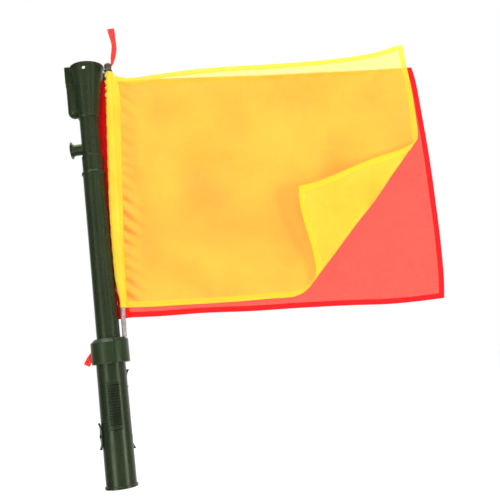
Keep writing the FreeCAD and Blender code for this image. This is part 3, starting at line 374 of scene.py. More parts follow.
def fabric(name, thread, warm, pale, clear, tint, valley_shade_colour):
    """Thin plain weave. Attribute cl: x, y = place along the threads in mm, z = number of
    layers; under 1 it marks painted shade. clear is the share of light one layer lets
    straight through."""
    thread_rate = math.pi / 0.42                  # one thread every 0.42 mm
    mat = new_material(name)
    place = mat.add("Attribute", attribute_name="cl")["Vector"]
    across, up, layers = mat.add("SeparateXYZ", {"Vector": place})
    wobble = mat.times(mat.noise(place, stretch=(0.02, 0.3, 0.0), detail=1), 0.5)
    weave = mat.plus(mat.times(mat.ridges(mat.plus(across, wobble), thread_rate), 0.5),
                     mat.times(mat.ridges(up, thread_rate), 0.5))
    slubs = mat.plus(mat.times(mat.noise(place, stretch=(0.05, 1.3, 0.0)), 0.5),
                     mat.times(mat.noise(place, stretch=(1.3, 0.05, 0.0)), 0.5))
    broad = mat.noise(place, stretch=(0.012, 0.016, 0.0), detail=3, rough=0.55)

    colour = mat.mix(mat.ramp(broad, span=(0.35, 0.68)), thread, warm)
    colour = mat.mix(mat.ramp(slubs, span=(0.42, 0.60), to=(0.0, 0.30)), colour, pale)
    colour = mat.mix(mat.ramp(weave, span=(0.0, 0.9), to=(0.16, 0.0)), colour, warm)
    hems = mat.ramp(layers, span=(2.45, 2.7), to=(0.0, 0.8))
    colour = mat.mix(hems, colour, warm)
    # painted shade: a layer count under 1 mixes in the dark orange shade colour
    painted_valley_shade = mat.ramp(layers, span=(0.38, 1.0), to=(0.85, 0.0))
    colour = mat.mix(painted_valley_shade, colour, valley_shade_colour)

    height = mat.plus(mat.times(weave, 0.6), mat.times(slubs, 1.3))
    bump = mat.bump(height, strength=0.22, distance=0.00018)
    surface = mat.add("BsdfPrincipled", {
        "Base Color": colour, "Roughness": 0.62, "Normal": bump, "Specular IOR Level": 0.10,
        "Sheen Weight": 0.10, "Sheen Roughness": 0.4, "Sheen Tint": pale})[0]
    glow = mat.add("BsdfTranslucent", {"Color": colour, "Normal": bump})[0]
    body = mat.mix_shader(0.30, surface, glow)

    # gaps between threads: clear ** layers; the inside faces of a shell let all through
    gaps = mat.math("POWER", mat.ramp(slubs, span=(0.3, 0.7), to=(clear - 0.02, clear + 0.03)),
                    mat.math("MAXIMUM", layers, 0.92))
    inside = mat.add("NewGeometry")["Backfacing"]
    gaps = mat.math("MAXIMUM", gaps, inside)
    through = mat.add("BsdfTransparent", {"Color": mat.mix(inside, tint, WHITE)})[0]
    return mat.finish(mat.mix_shader(gaps, body, through))


def satin(name, base, dark, pale):
    """Satin ribbon: fine lengthwise threads, soft sheen and a darker edge.
    Attribute cl: x across and y along in mm, z = 1 at the edges."""
    mat = new_material(name)
    place = mat.add("Attribute", attribute_name="cl")["Vector"]
    _, along, edge = mat.add("SeparateXYZ", {"Vector": place})
    threads = mat.noise(place, stretch=(4.0, 0.12, 0.0))
    colour = mat.mix(mat.ramp(threads, span=(0.3, 0.7)), base, dark)
    colour = mat.mix(mat.ramp(edge, span=(0.0, 1.0), to=(0.0, 0.55)), colour, dark)
    ribs = mat.ridges(along, rate=7.0)
    colour = mat.mix(mat.times(ribs, 0.12), colour, pale)
    height = mat.plus(mat.times(ribs, 0.5), threads)
    surface = mat.add("BsdfPrincipled", {
        "Base Color": colour, "Roughness": 0.42, "Specular IOR Level": 0.25,
        "Normal": mat.bump(height, strength=0.25, distance=0.0002),
        "Sheen Weight": 0.12, "Sheen Tint": pale})[0]
    glow = mat.add("BsdfTranslucent", {"Color": colour})[0]
    return mat.finish(mat.mix_shader(0.34, surface, glow))


# Each maker with its materials. Solids take 0..255 sRGB colours, cloth linear RGBA.
LOOKS = (
    (moulded, {
        "moulded_green": dict(base=(27, 36, 17), second=(32, 42, 21), pale_scuff_and_highlight=(116, 128, 102),
                              rough=0.28, scratch=0.03, peel=0.015, edge_scuff_and_highlight=0.85),
        "band_green": dict(base=(29, 43, 23), second=(34, 49, 27), pale_scuff_and_highlight=(98, 116, 86),
                           specular=0.38, peel=0.03, edge_scuff_and_highlight=0.75),
        "pad_green": dict(base=(30, 38, 22), second=(35, 44, 26), pale_scuff_and_highlight=(66, 76, 56),
                          rough=0.34, specular=0.4, peel=0.012, scratch=0.03, edge_scuff_and_highlight=0.0,
                          groove=0.0015),
        "inner_plastic": dict(base=(40, 44, 38), second=(52, 56, 48), pale_scuff_and_highlight=(90, 92, 84),
                              rough=0.5),
        "cleat_plastic": dict(base=(24, 28, 18), second=(29, 34, 22), pale_scuff_and_highlight=(66, 72, 56),
                              rough=0.34),
        "knob_plastic": dict(base=(62, 60, 46), second=(74, 68, 52), pale_scuff_and_highlight=(120, 112, 96),
                             rough=0.34)}),
    (rubber, {"seal_rubber": dict(base=(24, 24, 24), second=(36, 36, 35))}),
    (metal, {
        "screw_steel": dict(base=(150, 150, 146), dark=(110, 110, 106)),
        "brass_reed": dict(base=(190, 150, 80), dark=(150, 112, 52)),
        "rod_aluminium": dict(base=(196, 191, 195), dark=(160, 156, 160), rough=0.34,
                              brushed=(2600, 2600, 20), metallic=0.6)}),
    (fabric, {
        "yellow_cloth": dict(thread=(0.93, 0.74, 0.050, 1), warm=(0.95, 0.63, 0.034, 1),
                             pale=(0.96, 0.86, 0.15, 1), valley_shade_colour=(0.93, 0.33, 0.010, 1),
                             clear=0.34, tint=(1.0, 1.0, 0.98, 1)),
        "red_cloth": dict(thread=(0.93, 0.013, 0.017, 1), warm=(0.86, 0.009, 0.013, 1),
                          pale=(0.95, 0.034, 0.032, 1), valley_shade_colour=(0.80, 0.006, 0.009, 1),
                          clear=0.118, tint=(1.0, 1.0, 0.70, 1))}),
    (satin, {"red_ribbon": dict(base=(0.95, 0.070, 0.062, 1), dark=(0.86, 0.036, 0.036, 1),
                                pale=(0.98, 0.20, 0.17, 1))}),
)
MATERIALS = {name: maker(name, **look) for maker, looks in LOOKS
             for name, look in looks.items()}
for row in frame["record"]["subparts"]:
    slots = frame["nodes"][row["node"]].data.materials
    slots.clear()
    slots.append(MATERIALS[row["material_slot"]])


# ------------------------------------------------------------------ cloth sheets
def settle_cloth(name, flat, relief, pin, grow):
    """Runs Blender's cloth on a flat sheet with a pinned rim and threads a little longer
    than their space, so it settles into soft waves. Gives the out-of-plane relief."""
    rows, cols = flat.shape[:2]
    verts = np.dstack([flat[..., 0], relief, flat[..., 1]]).reshape(-1, 3)
    ob = make_mesh(name, verts, grid_quads(np.arange(rows * cols).reshape(rows, cols)))
    group = ob.vertex_groups.new(name="pin")
    weights = np.round(pin.reshape(-1), 2)
    for level in np.unique(weights):
        if level > 0:
            members = [int(i) for i in np.nonzero(weights == level)[0]]
            group.add(members, float(level), "REPLACE")
    cloth = ob.modifiers.new("Cloth", "CLOTH")
    settings = cloth.settings
    settings.quality = 5
    settings.mass = 0.12
    settings.tension_stiffness = 14
    settings.compression_stiffness = 14
    settings.shear_stiffness = 5
    settings.bending_stiffness = 0.35
    settings.air_damping = 3
    settings.vertex_group_mass = "pin"
    settings.shrink_min = -grow
    settings.effector_weights.gravity = 0
    cloth.collision_settings.use_collision = False
    cloth.collision_settings.use_self_collision = False
    frames = 16
    cloth.point_cache.frame_start, cloth.point_cache.frame_end = 1, frames
    scene = bpy.context.scene
    for i in range(1, frames + 1):
        scene.frame_set(i)
    settled = ob.evaluated_get(bpy.context.evaluated_depsgraph_get()).data
    coords = np.zeros(len(settled.vertices) * 3, np.float32)
    settled.vertices.foreach_get("co", coords)
    result = coords.reshape(rows, cols, 3)[..., 1].astype(float) / MM
    scene.frame_set(1)
    mesh = ob.data
    bpy.data.objects.remove(ob)
    bpy.data.meshes.remove(mesh)
    return result


class Sheet:
    """Four-sided cloth as a grid, hemmed on all sides but the left, which is at the rod."""
    def __init__(self, left, right, bottom, top):
        sides, lengths = zip(*(curve(points) for points in (left, right, bottom, top)))
        self.width = 0.5 * (lengths[2] + lengths[3])
        self.height = 0.5 * (lengths[0] + lengths[1])
        self.cols = graded(self.width, hem_at_start=False)
        self.rows = graded(self.height, hem_at_start=True)
        self.flat = patch(*sides, self.cols, self.rows)
        ones = np.ones((len(self.cols), len(self.rows)))
        self.across_mm = self.cols[:, None] * self.width * ones
        self.up_mm = self.rows[None, :] * self.height * ones
        self.across = self.across_mm / self.across_mm.max()
        self.up = self.up_mm / self.up_mm.max()

        # distance from the free edges, hem as 0..1, and half the thickness
        self.edge = np.minimum((1 - self.cols[:, None]) * self.width,
                               np.minimum(self.rows, 1 - self.rows)[None, :] * self.height)
        self.hem = 1 - smoothstep(self.edge, HEM - 0.35, HEM + 0.35)
        half = 0.19 + 0.36 * self.hem
        rounded = np.where(self.edge < 0.7, np.minimum(half, 0.44), half)
        self.half = np.where(self.edge < 0.2, 0.20, rounded)

    def waves(self, seed):
        """Broad and slanting waves the cloth run starts from."""
        across, up = self.across, self.up
        broad = (2.4 * value_noise(across, up, seed, (3, 3))
                 + 2.4 * value_noise(across, up, seed + 1, (7, 6)))
        slant = 3.4 * np.sin((self.across_mm * 0.75 + self.up_mm * 0.5) / 13.5
                             + 2.4 * value_noise(across, up, seed + 2, (4, 4)))
        patches = smoothstep(value_noise(across, up, seed + 7, (5, 4)), -0.4, 0.5)
        slant *= 0.25 + 0.75 * patches
        to_rim = np.minimum(np.minimum(1 - across, up), 1 - up)
        calm_rim = 0.25 + 0.75 * smoothstep(to_rim * 300, 0, 60)
        return (broad + slant * 0.5) * calm_rim * smoothstep(self.across_mm, 2, 26)

    def puckers(self, seed, size):
        """Short puckers running out from the sewn line at the rod, fewer higher up."""
        across, up, across_mm = self.across, self.up, self.across_mm
        drift = 6.5 * value_noise(across, up, seed + 4, (4, 9))
        pucker = np.sin(2 * np.pi * ((self.up_mm + 0.60 * across_mm + drift) / 18.5))
        pucker = np.sign(pucker) * np.abs(pucker) ** 0.8
        reach = 14.0 + 5.0 * value_noise(across * 0 + 0.3, up, seed + 8, (2, 12))
        pucker *= np.exp(-(across_mm / reach) ** 1.8) * (1 - np.exp(-across_mm / 1.6))
        uneven = 0.80 + 0.55 * value_noise(across * 0, up, seed + 5, (2, 9))
        lower = 0.25 + 0.80 * (1 - smoothstep(up, 0.24, 0.58))
        pucker *= np.clip(uneven, 0.3, 1.15) * lower
        return size * pucker

    def settle(self, name, relief, grow):
        """Cloth run on about half the grid lines, brought back to the full grid."""
        cols, rows = self.cols, self.rows
        keep_cols, keep_rows = (
            np.unique(np.linspace(0, len(x) - 1, max(12, len(x) // 2)).astype(int))
            for x in (cols, rows))
        kept = np.ix_(keep_cols, keep_rows)
        pin = np.clip(1 - smoothstep(self.edge[kept], 5.0, 16.0), 0, 1)
        pin = np.maximum(pin, 1 - smoothstep(self.across_mm[kept], 1.0, 7.0))
        coarse = settle_cloth(name, self.flat[kept], relief[kept], pin, grow)
        part = np.stack([np.interp(cols, cols[keep_cols], coarse[:, j])
                         for j in range(len(keep_rows))], 1)
        fine = np.stack([np.interp(rows, rows[keep_rows], part[i])
                         for i in range(len(cols))], 0)
        soft = fine.copy()
        soft[1:-1, 1:-1] = (fine[1:-1, 1:-1] * 4 + fine[:-2, 1:-1] + fine[2:, 1:-1]
                            + fine[1:-1, :-2] + fine[1:-1, 2:]) / 8
        limit = 6.0
        return limit * np.tanh(soft / limit)

    def cloth(self, layers):
        return np.dstack([self.across_mm, self.up_mm, layers])

    def sew(self, shells, points):
        """Stitches on both faces along the right, bottom and top hems."""
        normals = grid_normals(points)
        side_in, end_in = 1 - HEM_SEW / self.width, HEM_SEW / self.height
        low, high = np.searchsorted(self.rows, (end_in, 1 - end_in))
        up_hem = slice(low, high + 1)
        along_hem = slice(1, np.searchsorted(self.cols, side_in) + 1)
        turned, turned_normals = points.swapaxes(0, 1), normals.swapaxes(0, 1)
        for side in (1, -1):
            for grid, grid_normal, places, place, part in (
                    (points, normals, self.cols, side_in, up_hem),
                    (turned, turned_normals, self.rows, end_in, along_hem),
                    (turned, turned_normals, self.rows, 1 - end_in, along_hem)):
                i = np.clip(np.searchsorted(places, place) - 1, 0, len(places) - 2)
                f = (place - places[i]) / (places[i + 1] - places[i])
                line = (grid[i] * (1 - f) + grid[i + 1] * f)[part]
                normal = grid_normal[i][part]
                stitches(shells, line + normal * side * 0.52, normal, side)


def stitches(shells, line, normals, side=1):
    """Sewing thread along a line: one slim six-pointed bar per stitch."""
    length, gap, width, lift, thick = 2.3, 0.9, 0.42, 0.12, 0.16
    place = np.r_[0, np.cumsum(np.linalg.norm(np.diff(line, axis=0), axis=1))]
    count = int(place[-1] / (length + gap))
    faces = [(0, 1, 2), (0, 2, 3), (4, 2, 1), (4, 3, 2),
             (0, 3, 5), (0, 5, 1), (4, 5, 3), (4, 1, 5)]
    if side < 0:
        faces = [face[::-1] for face in faces]
    for k in range(count):
        middle = (k + 0.5) * place[-1] / count
        start, centre, end = (
            np.array([np.interp(middle + offset, place, line[:, axis]) for axis in range(3)])
            for offset in (-length / 2, 0, length / 2))
        normal = np.array([np.interp(middle, place, normals[:, axis]) for axis in range(3)])
        normal /= max(np.linalg.norm(normal), 1e-9)
        along = end - start
        along /= max(np.linalg.norm(along), 1e-9)
        across = np.cross(normal, along) * width / 2
        centre = centre + normal * side * lift
        rise = normal * side * thick
        verts = [start, centre - across, centre + rise, centre + across, end, centre - rise]
        shells.add(verts, faces, np.tile((middle, 0.0, 6.0), (len(verts), 1)))


# ------------------------------------------------------------------ pole sleeves
def sleeve(shells, rod, bottom, left, seam, outer, cover, seed, ripple=None, slope=False,
           back=0.0):
    """Slack sleeve round a rod, sewn at seam and again at outer, x in mm by height z.
    cover is its layer count, ripple adds to the left edge, slope drops the flat strip
    towards the top, back moves the left edge to +y."""
    top = SLEEVE_TOP
    heights = np.arange(bottom, top + 0.01,
                        (top - bottom) / max(2, round((top - bottom) / SLEEVE_STEP)))
    strip = np.linspace(1, 0, 4)[:-1]                   # outer line -> seam
    rising = np.linspace(1, 0, 11)[:-1]                 # seam -> rod's axis
    closing = np.sin(np.linspace(0, 1, 12) * math.pi / 2)   # rod's axis -> left edge
    path = len(strip) + len(rising) + len(closing)
    last = 2 * path - 2                                 # front path, then back again
    phase = np.random.default_rng(seed).uniform(0, 6.28, 6)
    outside = np.zeros((last + 1, len(heights), 3))
    inside = np.zeros_like(outside)
    layers = np.zeros((last + 1, len(heights)))
    for k, z in enumerate(heights):
        axis_x, axis_y = rod.x(z), rod.y(z)
        left_x = (left(z) + 0.22 * math.sin(z / 3.1 + phase[0])
                  + 0.16 * math.sin(z / 1.37 + phase[1]))
        if ripple is not None:
            left_x += ripple(z)
        seam_x = max(seam(z), axis_x + SEAM_REACH)
        outer_x = max(outer(z), seam_x + 1.6)
        gather = 0.10 * math.sin(z / 1.9 + phase[2]) + 0.08 * math.sin(z / 0.93 + phase[3])
        drop = 8.0 * float(smoothstep(z, top - 33.0, top)) if slope else 0.0

        # x, half depth outside and inside, x shift of the inside, y shift, z drop, layers
        stations = []
        for t in strip:
            x = seam_x + (outer_x - seam_x) * t
            bulge = math.sin(math.pi * t)
            wave = 0.22 * math.sin(z / 2.3 + x * 0.7 + phase[4]) * bulge
            stations.append((x, 0.62 + 0.10 * bulge, 0.24, 0.0, wave, drop * t, cover * 0.58))
        for t in rising:
            x = axis_x + (seam_x - axis_x) * t
            depth = SEAM_HALF + (SLEEVE_RADIUS - SEAM_HALF) * max(0.0, 1 - t ** 2.3) ** 0.85
            depth += (gather * (1 - t) * 0.9
                      + 0.35 * math.sin(z / 9.0 + phase[5]) * (1 - t) * t * 3)
            stations.append((x, depth, max(depth - SLEEVE_CLOTH, 0.24), 0.0, 0.0, 0.0, cover))
        wall = min(SLEEVE_CLOTH, (axis_x - left_x) * 0.1)
        for t in closing:
            x = axis_x + (left_x - axis_x) * t
            depth = (SLEEVE_RADIUS * max(0.0, 1 - t ** 2.4) ** 0.55
                     + gather * 0.8 * (1 - t))
            stations.append((x, depth, max(depth - SLEEVE_CLOTH, 0.0), wall * t,
                             back * t ** 2, 0.0, cover))
        for j, (x, depth, hollow, shift_x, shift_y, fall, count) in enumerate(stations):
            y = axis_y + shift_y
            # back half first: the left edge belongs to both and keeps the front's values
            for i, side in ((last - j, 1), (j, -1)):
                outside[i, k] = (x, y + side * depth, z - fall)
                inside[i, k] = (x + shift_x, y + side * hollow, z - fall)
                layers[i, k] = count
    middle = outside[:, len(heights) // 2]
    girth = np.cumsum(np.r_[0, np.linalg.norm(np.diff(middle, axis=0), axis=1)])
    cloth = np.dstack([np.tile(girth[:, None], (1, len(heights))),
                       np.tile(heights, (last + 1, 1)), layers])
    shells.add_pair(outside, inside, cloth, flip=True)


# ------------------------------------------------------------------ yellow flag
YELLOW_BOTTOM = 225.6                             # lower end of sleeve and sheet at the rod
YELLOW_SHEET_TOP = 546.0

# sleeve outlines: z, x
YELLOW_LEFT = smooth_table([
    (225.0, 20.2), (238, 19.8), (250, 18.0), (263.4, 16.8), (276, 16.3), (290.4, 16.2),
    (317.6, 16.4), (345, 17.0), (372.6, 18.0), (400.3, 19.7), (428.4, 21.2), (456.6, 23.1),
    (485.2, 24.8), (514, 26.8), (540, 28.4), (556, 29.2)])
YELLOW_SEAM = smooth_table([
    (225.0, 27.6), (263, 28.6), (290, 29.5), (317, 30.4), (345, 31.3), (372, 32.4),
    (400, 33.6), (428, 34.3), (456, 35.0), (485, 36.0), (514, 37.4), (556, 38.9)])
YELLOW_OUTER = smooth_table([
    (225.0, 29.2), (263, 30.6), (290, 31.8), (317, 33.0), (345, 34.8), (372, 36.4),
    (400, 38.8), (428, 41.0), (456, 43.0), (485, 45.0), (514, 47.0), (535, 46.4),
    (556, 44.6)])

# sheet outlines: x, z
YELLOW_RIGHT_EDGE = [(443.9, 417.0), (444.4, 436.3), (444.7, 459.3), (444.3, 482.6),
                     (443.0, 518.0), (442.6, 540.3)]
YELLOW_TOP_EDGE = [
    (YELLOW_OUTER(545.0) - SEWN_UNDER, YELLOW_SHEET_TOP), (62.7, 541.8), (96.2, 541.6),
    (146.6, 542.4), (213.2, 538.8), (279.6, 534.4), (346.2, 531.5), (379.8, 532.2),
    (413.7, 535.2), (431.0, 538.8), (442.6, 540.3)]
YELLOW_BOTTOM_EDGE = [
    (YELLOW_OUTER(225.5) - SEWN_UNDER, YELLOW_BOTTOM), (58.8, 222.6), (98.2, 220.1),
    (140.0, 217.4), (182.2, 214.9), (220.0, 213.6), (248.0, 212.6)]

# The lower right corner is folded over to the front. Its edges (x, z), as the camera
# sees them against the plane of the sheet:
FLAP_TOP = [(273.9, 357.4), (281.3, 358.4), (297.0, 360.9), (327.6, 369.5), (363.9, 380.9),
            (391.1, 388.2), (418.1, 394.2)]
FLAP_LEFT = [(282.3, 247.0), (281.6, 261.5), (279.4, 282.5), (276.1, 302.0), (273.0, 323.4),
             (271.9, 341.1), (273.9, 357.4)]
FLAP_Y = -24.0                                    # depth at which those edges lie
FOLD_START, FOLD_END = np.array([262.6, 215.6]), np.array([441.6, 404.2])
FOLD_LENGTH = np.linalg.norm(FOLD_END - FOLD_START)
FOLD_ALONG = (FOLD_END - FOLD_START) / FOLD_LENGTH
FOLD_OUT = np.array([FOLD_ALONG[1], -FOLD_ALONG[0]])     # towards the corner


def fold_arch(along):
    return np.sin(np.pi * np.clip(along / FOLD_LENGTH, 0, 1))


def fold_bow(along):
    """How far the fold bulges past its chord."""
    return 2.2 * fold_arch(along)


def fold_radius(along):
    return 4.2 + 3.2 * fold_arch(along) ** 0.8


def flap_lift(past, along):
    """How far the flap stands off the sheet, past mm beyond the roll."""
    return (15.0 * np.clip(past / 95.0, 0, 1.15) ** 1.2
            + 1.4 * np.sin(along / 38.0 + 0.6) * smoothstep(past, 8, 60))


def unfold(points):
    """Where seen points of the folded corner lie when the sheet is spread out."""
    scale = (FLAP_Y - CAMERA_AT[1]) / (YELLOW_Y - CAMERA_AT[1])
    eye = CAMERA_AT[[0, 2]]
    spread = []
    for point in eye + (np.array(points) - eye) * scale:
        along, out = (point - FOLD_START) @ FOLD_ALONG, (point - FOLD_START) @ FOLD_OUT
        radius = fold_radius(along)
        flat_out = 2 * fold_bow(along) - 2 * radius + math.pi * radius - out
        spread.append(tuple(FOLD_START + along * FOLD_ALONG + flat_out * FOLD_OUT))
    return spread


def fold(flat, relief):
    """Rolls the corner of the spread sheet over to the front and adds the relief."""
    along, out = (flat - FOLD_START) @ FOLD_ALONG, (flat - FOLD_START) @ FOLD_OUT
    bow, radius = fold_bow(along), fold_radius(along)
    rolled = out - (bow - radius)
    angle = np.clip(rolled / radius, 0, math.pi)
    past = np.maximum(rolled - math.pi * radius, 0)
    out = np.where(rolled <= 0, out, bow - radius + radius * np.sin(angle) - past)
    depth = np.where(rolled <= 0, 0, radius * (1 - np.cos(angle)) + flap_lift(past, along))
    x, z = (FOLD_START[i] + along * FOLD_ALONG[i] + out * FOLD_OUT[i] for i in (0, 1))
    points = np.dstack([x, YELLOW_Y - depth, z])
    calm_roll = 1 - 0.94 * np.exp(-((rolled - 4.0) / 27.0) ** 2)
    return points + grid_normals(points) * (relief * calm_roll)[..., None]


def yellow_scallop(z):
    """Ripple of the sleeve's left edge near its top."""
    ripple = 1.45 * math.sin(2 * math.pi * (z - 505) / 9.3) + 0.6 * math.sin(2 * math.pi * z / 4.1)
    return float(ripple * smoothstep(z, 508, 522))


def yellow_flag():
    """The yellow cloth and its stitching."""
    left = [(YELLOW_OUTER(z) - SEWN_UNDER, z)
            for z in np.linspace(YELLOW_BOTTOM, YELLOW_SHEET_TOP, 14)]
    sheet = Sheet(left, unfold(FLAP_TOP) + YELLOW_RIGHT_EDGE,
                  YELLOW_BOTTOM_EDGE + unfold(FLAP_LEFT), YELLOW_TOP_EDGE)
    waves, puckers = sheet.waves(seed=21), sheet.puckers(seed=21, size=2.1)
    relief = sheet.settle("YellowSheetRun", waves, grow=0.008) + 0.7 * waves + puckers
    # the right edge ripples a little
    relief += (0.9 * np.sin(sheet.up_mm / 31.0 + 1.0) * smoothstep(sheet.across, 0.75, 1.0)
               * (1 - smoothstep(sheet.up, 0.85, 1.0)))
    points = fold(sheet.flat, relief)
    # painted shade: on one side of each pucker and wave the layer count drops below 1, which tints
    # the cloth a darker orange and lets a little more light through; the waves raise it a little
    # where they bend the other way
    painted_trough_shade = (np.clip(-puckers / 1.1, 0, 1) * 0.62
              + np.clip(-waves / 4.0, -1, 1) * 0.16 * smoothstep(sheet.across_mm, 8, 40))
    layers = 1 + HEM_EXTRA * sheet.hem - painted_trough_shade * (1 - sheet.hem)
    cloth = Shells()
    cloth.add_sheet(points, sheet.half, sheet.cloth(layers))
    sleeve(cloth, YELLOW_ROD, YELLOW_BOTTOM, YELLOW_LEFT, YELLOW_SEAM, YELLOW_OUTER,
           cover=2.4, seed=3, ripple=yellow_scallop, slope=True)

    thread = Shells()
    sheet.sew(thread, points)
    heights = np.linspace(228, 545, 120)
    seam_line = np.maximum(YELLOW_SEAM(heights), YELLOW_ROD.x(heights) + SEAM_REACH) + 0.5
    outer_line = YELLOW_OUTER(heights) - 0.9
    for side in (-1, 1):
        for line_x in (seam_line, outer_line):
            line_y = np.full(len(heights), YELLOW_Y + side * SEAM_HALF)
            stitches(thread, np.stack([line_x, line_y, heights], 1),
                     np.tile([0.0, side, 0.0], (len(heights), 1)))
    return (cloth.make("yellow_flag_cloth", "yellow_cloth"),
            thread.make("yellow_flag_stitching", "yellow_cloth"))


# ------------------------------------------------------------------ red flag
RED_BOTTOM = 212.6                                # lower end of the sleeve
# The sheet leans with its rod; "up" is measured along it from the rod's base.
RED_SHEET_LOW, RED_SHEET_HIGH = 24.9, 364.8

RED_OUTER = smooth_table([                        # up, x
    (0, 29.0), (60, 29.6), (120, 30.0), (200, 31.0), (300, 33.5), (370, 35.0)])
RED_LEFT = smooth_table([                         # z, x
    (212.0, 13.8), (225, 13.7), (250, 13.4), (275, 13.0), (300, 12.5), (350, 11.4),
    (400, 10.4), (440, 9.0), (480, 8.2), (515, 9.4), (530, 11.5), (540, 13.4), (554, 15.4)])


def red_inner_edge(up):
    return (RED_OUTER(up) - SEWN_UNDER, up)


# sheet outlines: x, up
RED_RIGHT_EDGE = [
    (444.1, -0.9), (447.4, 17.6), (452.9, 71.4), (456.6, 138.3), (459.1, 207.4),
    (459.25, 279.0), (459.0, 303.3), (458.0, 317.0), (456.5, 328.3)]
RED_BOTTOM_EDGE = [
    red_inner_edge(RED_SHEET_LOW), (63.7, 22.0), (127.5, 18.7), (190.9, 13.4), (254.3, 9.5),
    (317.5, 4.9), (380.5, -0.3), (412.0, -1.0), (444.1, -0.9)]
RED_TOP_EDGE = [
    red_inner_edge(RED_SHEET_HIGH), (100.0, 359.4), (170.0, 352.8), (240.0, 345.6),
    (310.0, 339.4), (380.0, 334.0), (456.5, 328.3)]


def on_red_plane(x, up, out):
    """Point x across and up the leaning sheet, out in front of it."""
    _, base_y, base_z = RED_ROD.base
    sine, cosine = math.sin(RED_LEAN), math.cos(RED_LEAN)
    return np.stack([x, base_y + up * sine - out * cosine,
                     base_z + up * cosine + out * sine], -1)


def red_flag():
    """The red cloth and its stitching."""
    left = [red_inner_edge(up) for up in np.linspace(RED_SHEET_LOW, RED_SHEET_HIGH, 12)]
    sheet = Sheet(left, RED_RIGHT_EDGE, RED_BOTTOM_EDGE, RED_TOP_EDGE)
    waves, puckers = sheet.waves(seed=57), sheet.puckers(seed=57, size=1.2)
    relief = sheet.settle("RedSheetRun", waves * 0.8, grow=0.007) + 0.3 * waves + puckers
    points = on_red_plane(sheet.flat[..., 0], sheet.flat[..., 1], relief)
    cloth = Shells()
    cloth.add_sheet(points, sheet.half, sheet.cloth(1 + HEM_EXTRA * sheet.hem))
    sleeve(cloth, RED_ROD, RED_BOTTOM, RED_LEFT, seam=lambda z: RED_ROD.x(z) + 4.6,
           outer=lambda z: float(RED_OUTER((z - RED_ROD.base[2]) / math.cos(RED_LEAN))),
           cover=2.2, seed=8, back=2.0)
    thread = Shells()
    sheet.sew(thread, points)
    return (cloth.make("red_flag_cloth", "red_cloth"),
            thread.make("red_flag_stitching", "red_cloth"))


# ------------------------------------------------------------------ ribbons
def ribbon(name, centre, facing, widths, curl):
    """Flat ribbon along a centre line. facing holds the directions of its width and
    widths its widths, both evenly spaced along it; curl cups it across."""
    rows, cols = 46, 9
    line, length = curve(centre)
    t = np.linspace(0, 1, rows)
    middle = line(t)
    facing = np.array(facing, float)
    keys = np.linspace(0, 1, len(facing))
    across = np.stack([np.interp(t, keys, facing[:, k]) for k in range(3)], 1)
    for _ in range(3):
        across[1:-1] = (across[:-2] + 2 * across[1:-1] + across[2:]) / 4
    along = np.gradient(middle, axis=0)
    along /= np.linalg.norm(along, axis=1, keepdims=True)
    across -= along * np.sum(across * along, axis=1, keepdims=True)
    across /= np.linalg.norm(across, axis=1, keepdims=True)
    normal = np.cross(along, across)
    width = np.interp(t, np.linspace(0, 1, len(widths)), widths)
    places = np.linspace(-1, 1, cols)
    points = np.stack([middle + across * (width * 0.5 * place)[:, None]
                       + normal * (curl * (place * place - 0.4)) for place in places], 1)
    cloth = np.dstack([np.tile(places * 4.5, (rows, 1)),
                       np.tile((t * length)[:, None], (1, cols)),
                       np.tile((np.abs(places) > 0.8).astype(float), (rows, 1))])
    shells = Shells()
    shells.add_sheet(points, 0.22, cloth)
    return shells.make(name, "red_ribbon")


def cap_ribbon():
    return ribbon(
        "cap_ribbon",
        centre=[(36.2, -4.4, 561.6), (38.6, -4.8, 563.6), (40.3, -5.6, 566.4),
                (42.0, -6.4, 573.0), (43.8, -5.6, 581.0), (44.9, -4.6, 589.6),
                (44.8, -4.0, 596.2), (44.1, -4.8, 602.3), (43.6, -5.6, 608.2),
                (43.0, -6.2, 613.6), (42.6, -6.4, 616.8)],
        facing=[(0.16, 0.98, 0), (0.16, 0.98, 0), (0.38, 0.92, 0), (0.43, 0.90, 0),
                (0.47, 0.88, 0), (0.51, 0.86, 0), (0.55, 0.83, 0), (0.61, 0.79, 0),
                (0.72, 0.69, 0), (0.90, 0.43, 0), (0.986, 0.167, 0.03)],
        widths=[4.0, 7.0, 9.3] + [9.7] * 8, curl=0.35)


def collar_ribbon():
    return ribbon(
        "collar_ribbon_tail",
        centre=[(-19.5, 14.5, 175.5), (-22.6, 11.4, 172.5), (-25.6, 8.6, 168.6),
                (-28.6, 6.8, 164.4), (-31.0, 6.2, 160.6), (-33.0, 6.0, 157.2)],
        facing=[(0.62, 0.2, -0.75), (0.66, 0.1, -0.74), (0.72, 0.0, -0.69),
                (0.76, 0.0, -0.65), (0.8, 0.0, -0.6), (0.8, -0.05, -0.6)],
        widths=[7.0, 7.6, 8.2, 8.4, 8.4, 8.4], curl=0.5)


# ------------------------------------------------------------------ building and bodies
yellow, yellow_thread = yellow_flag()
red, red_thread = red_flag()
# object, body it rides, CAD node it replaces, material slot
for ob, body, node, slot in (
        (yellow, "yellow_flag", "yellow_cloth", "yellow_cloth"),
        (yellow_thread, "yellow_flag", None, "yellow_cloth"),
        (red, "red_flag", "red_cloth", "red_cloth"),
        (red_thread, "red_flag", None, "red_cloth"),
        (cap_ribbon(), "yellow_rod_set", "top_ribbon", "red_ribbon"),
        (collar_ribbon(), "holder", "collar_ribbon", "red_ribbon")):
    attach(ob, body)
    if node:
        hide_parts(node)


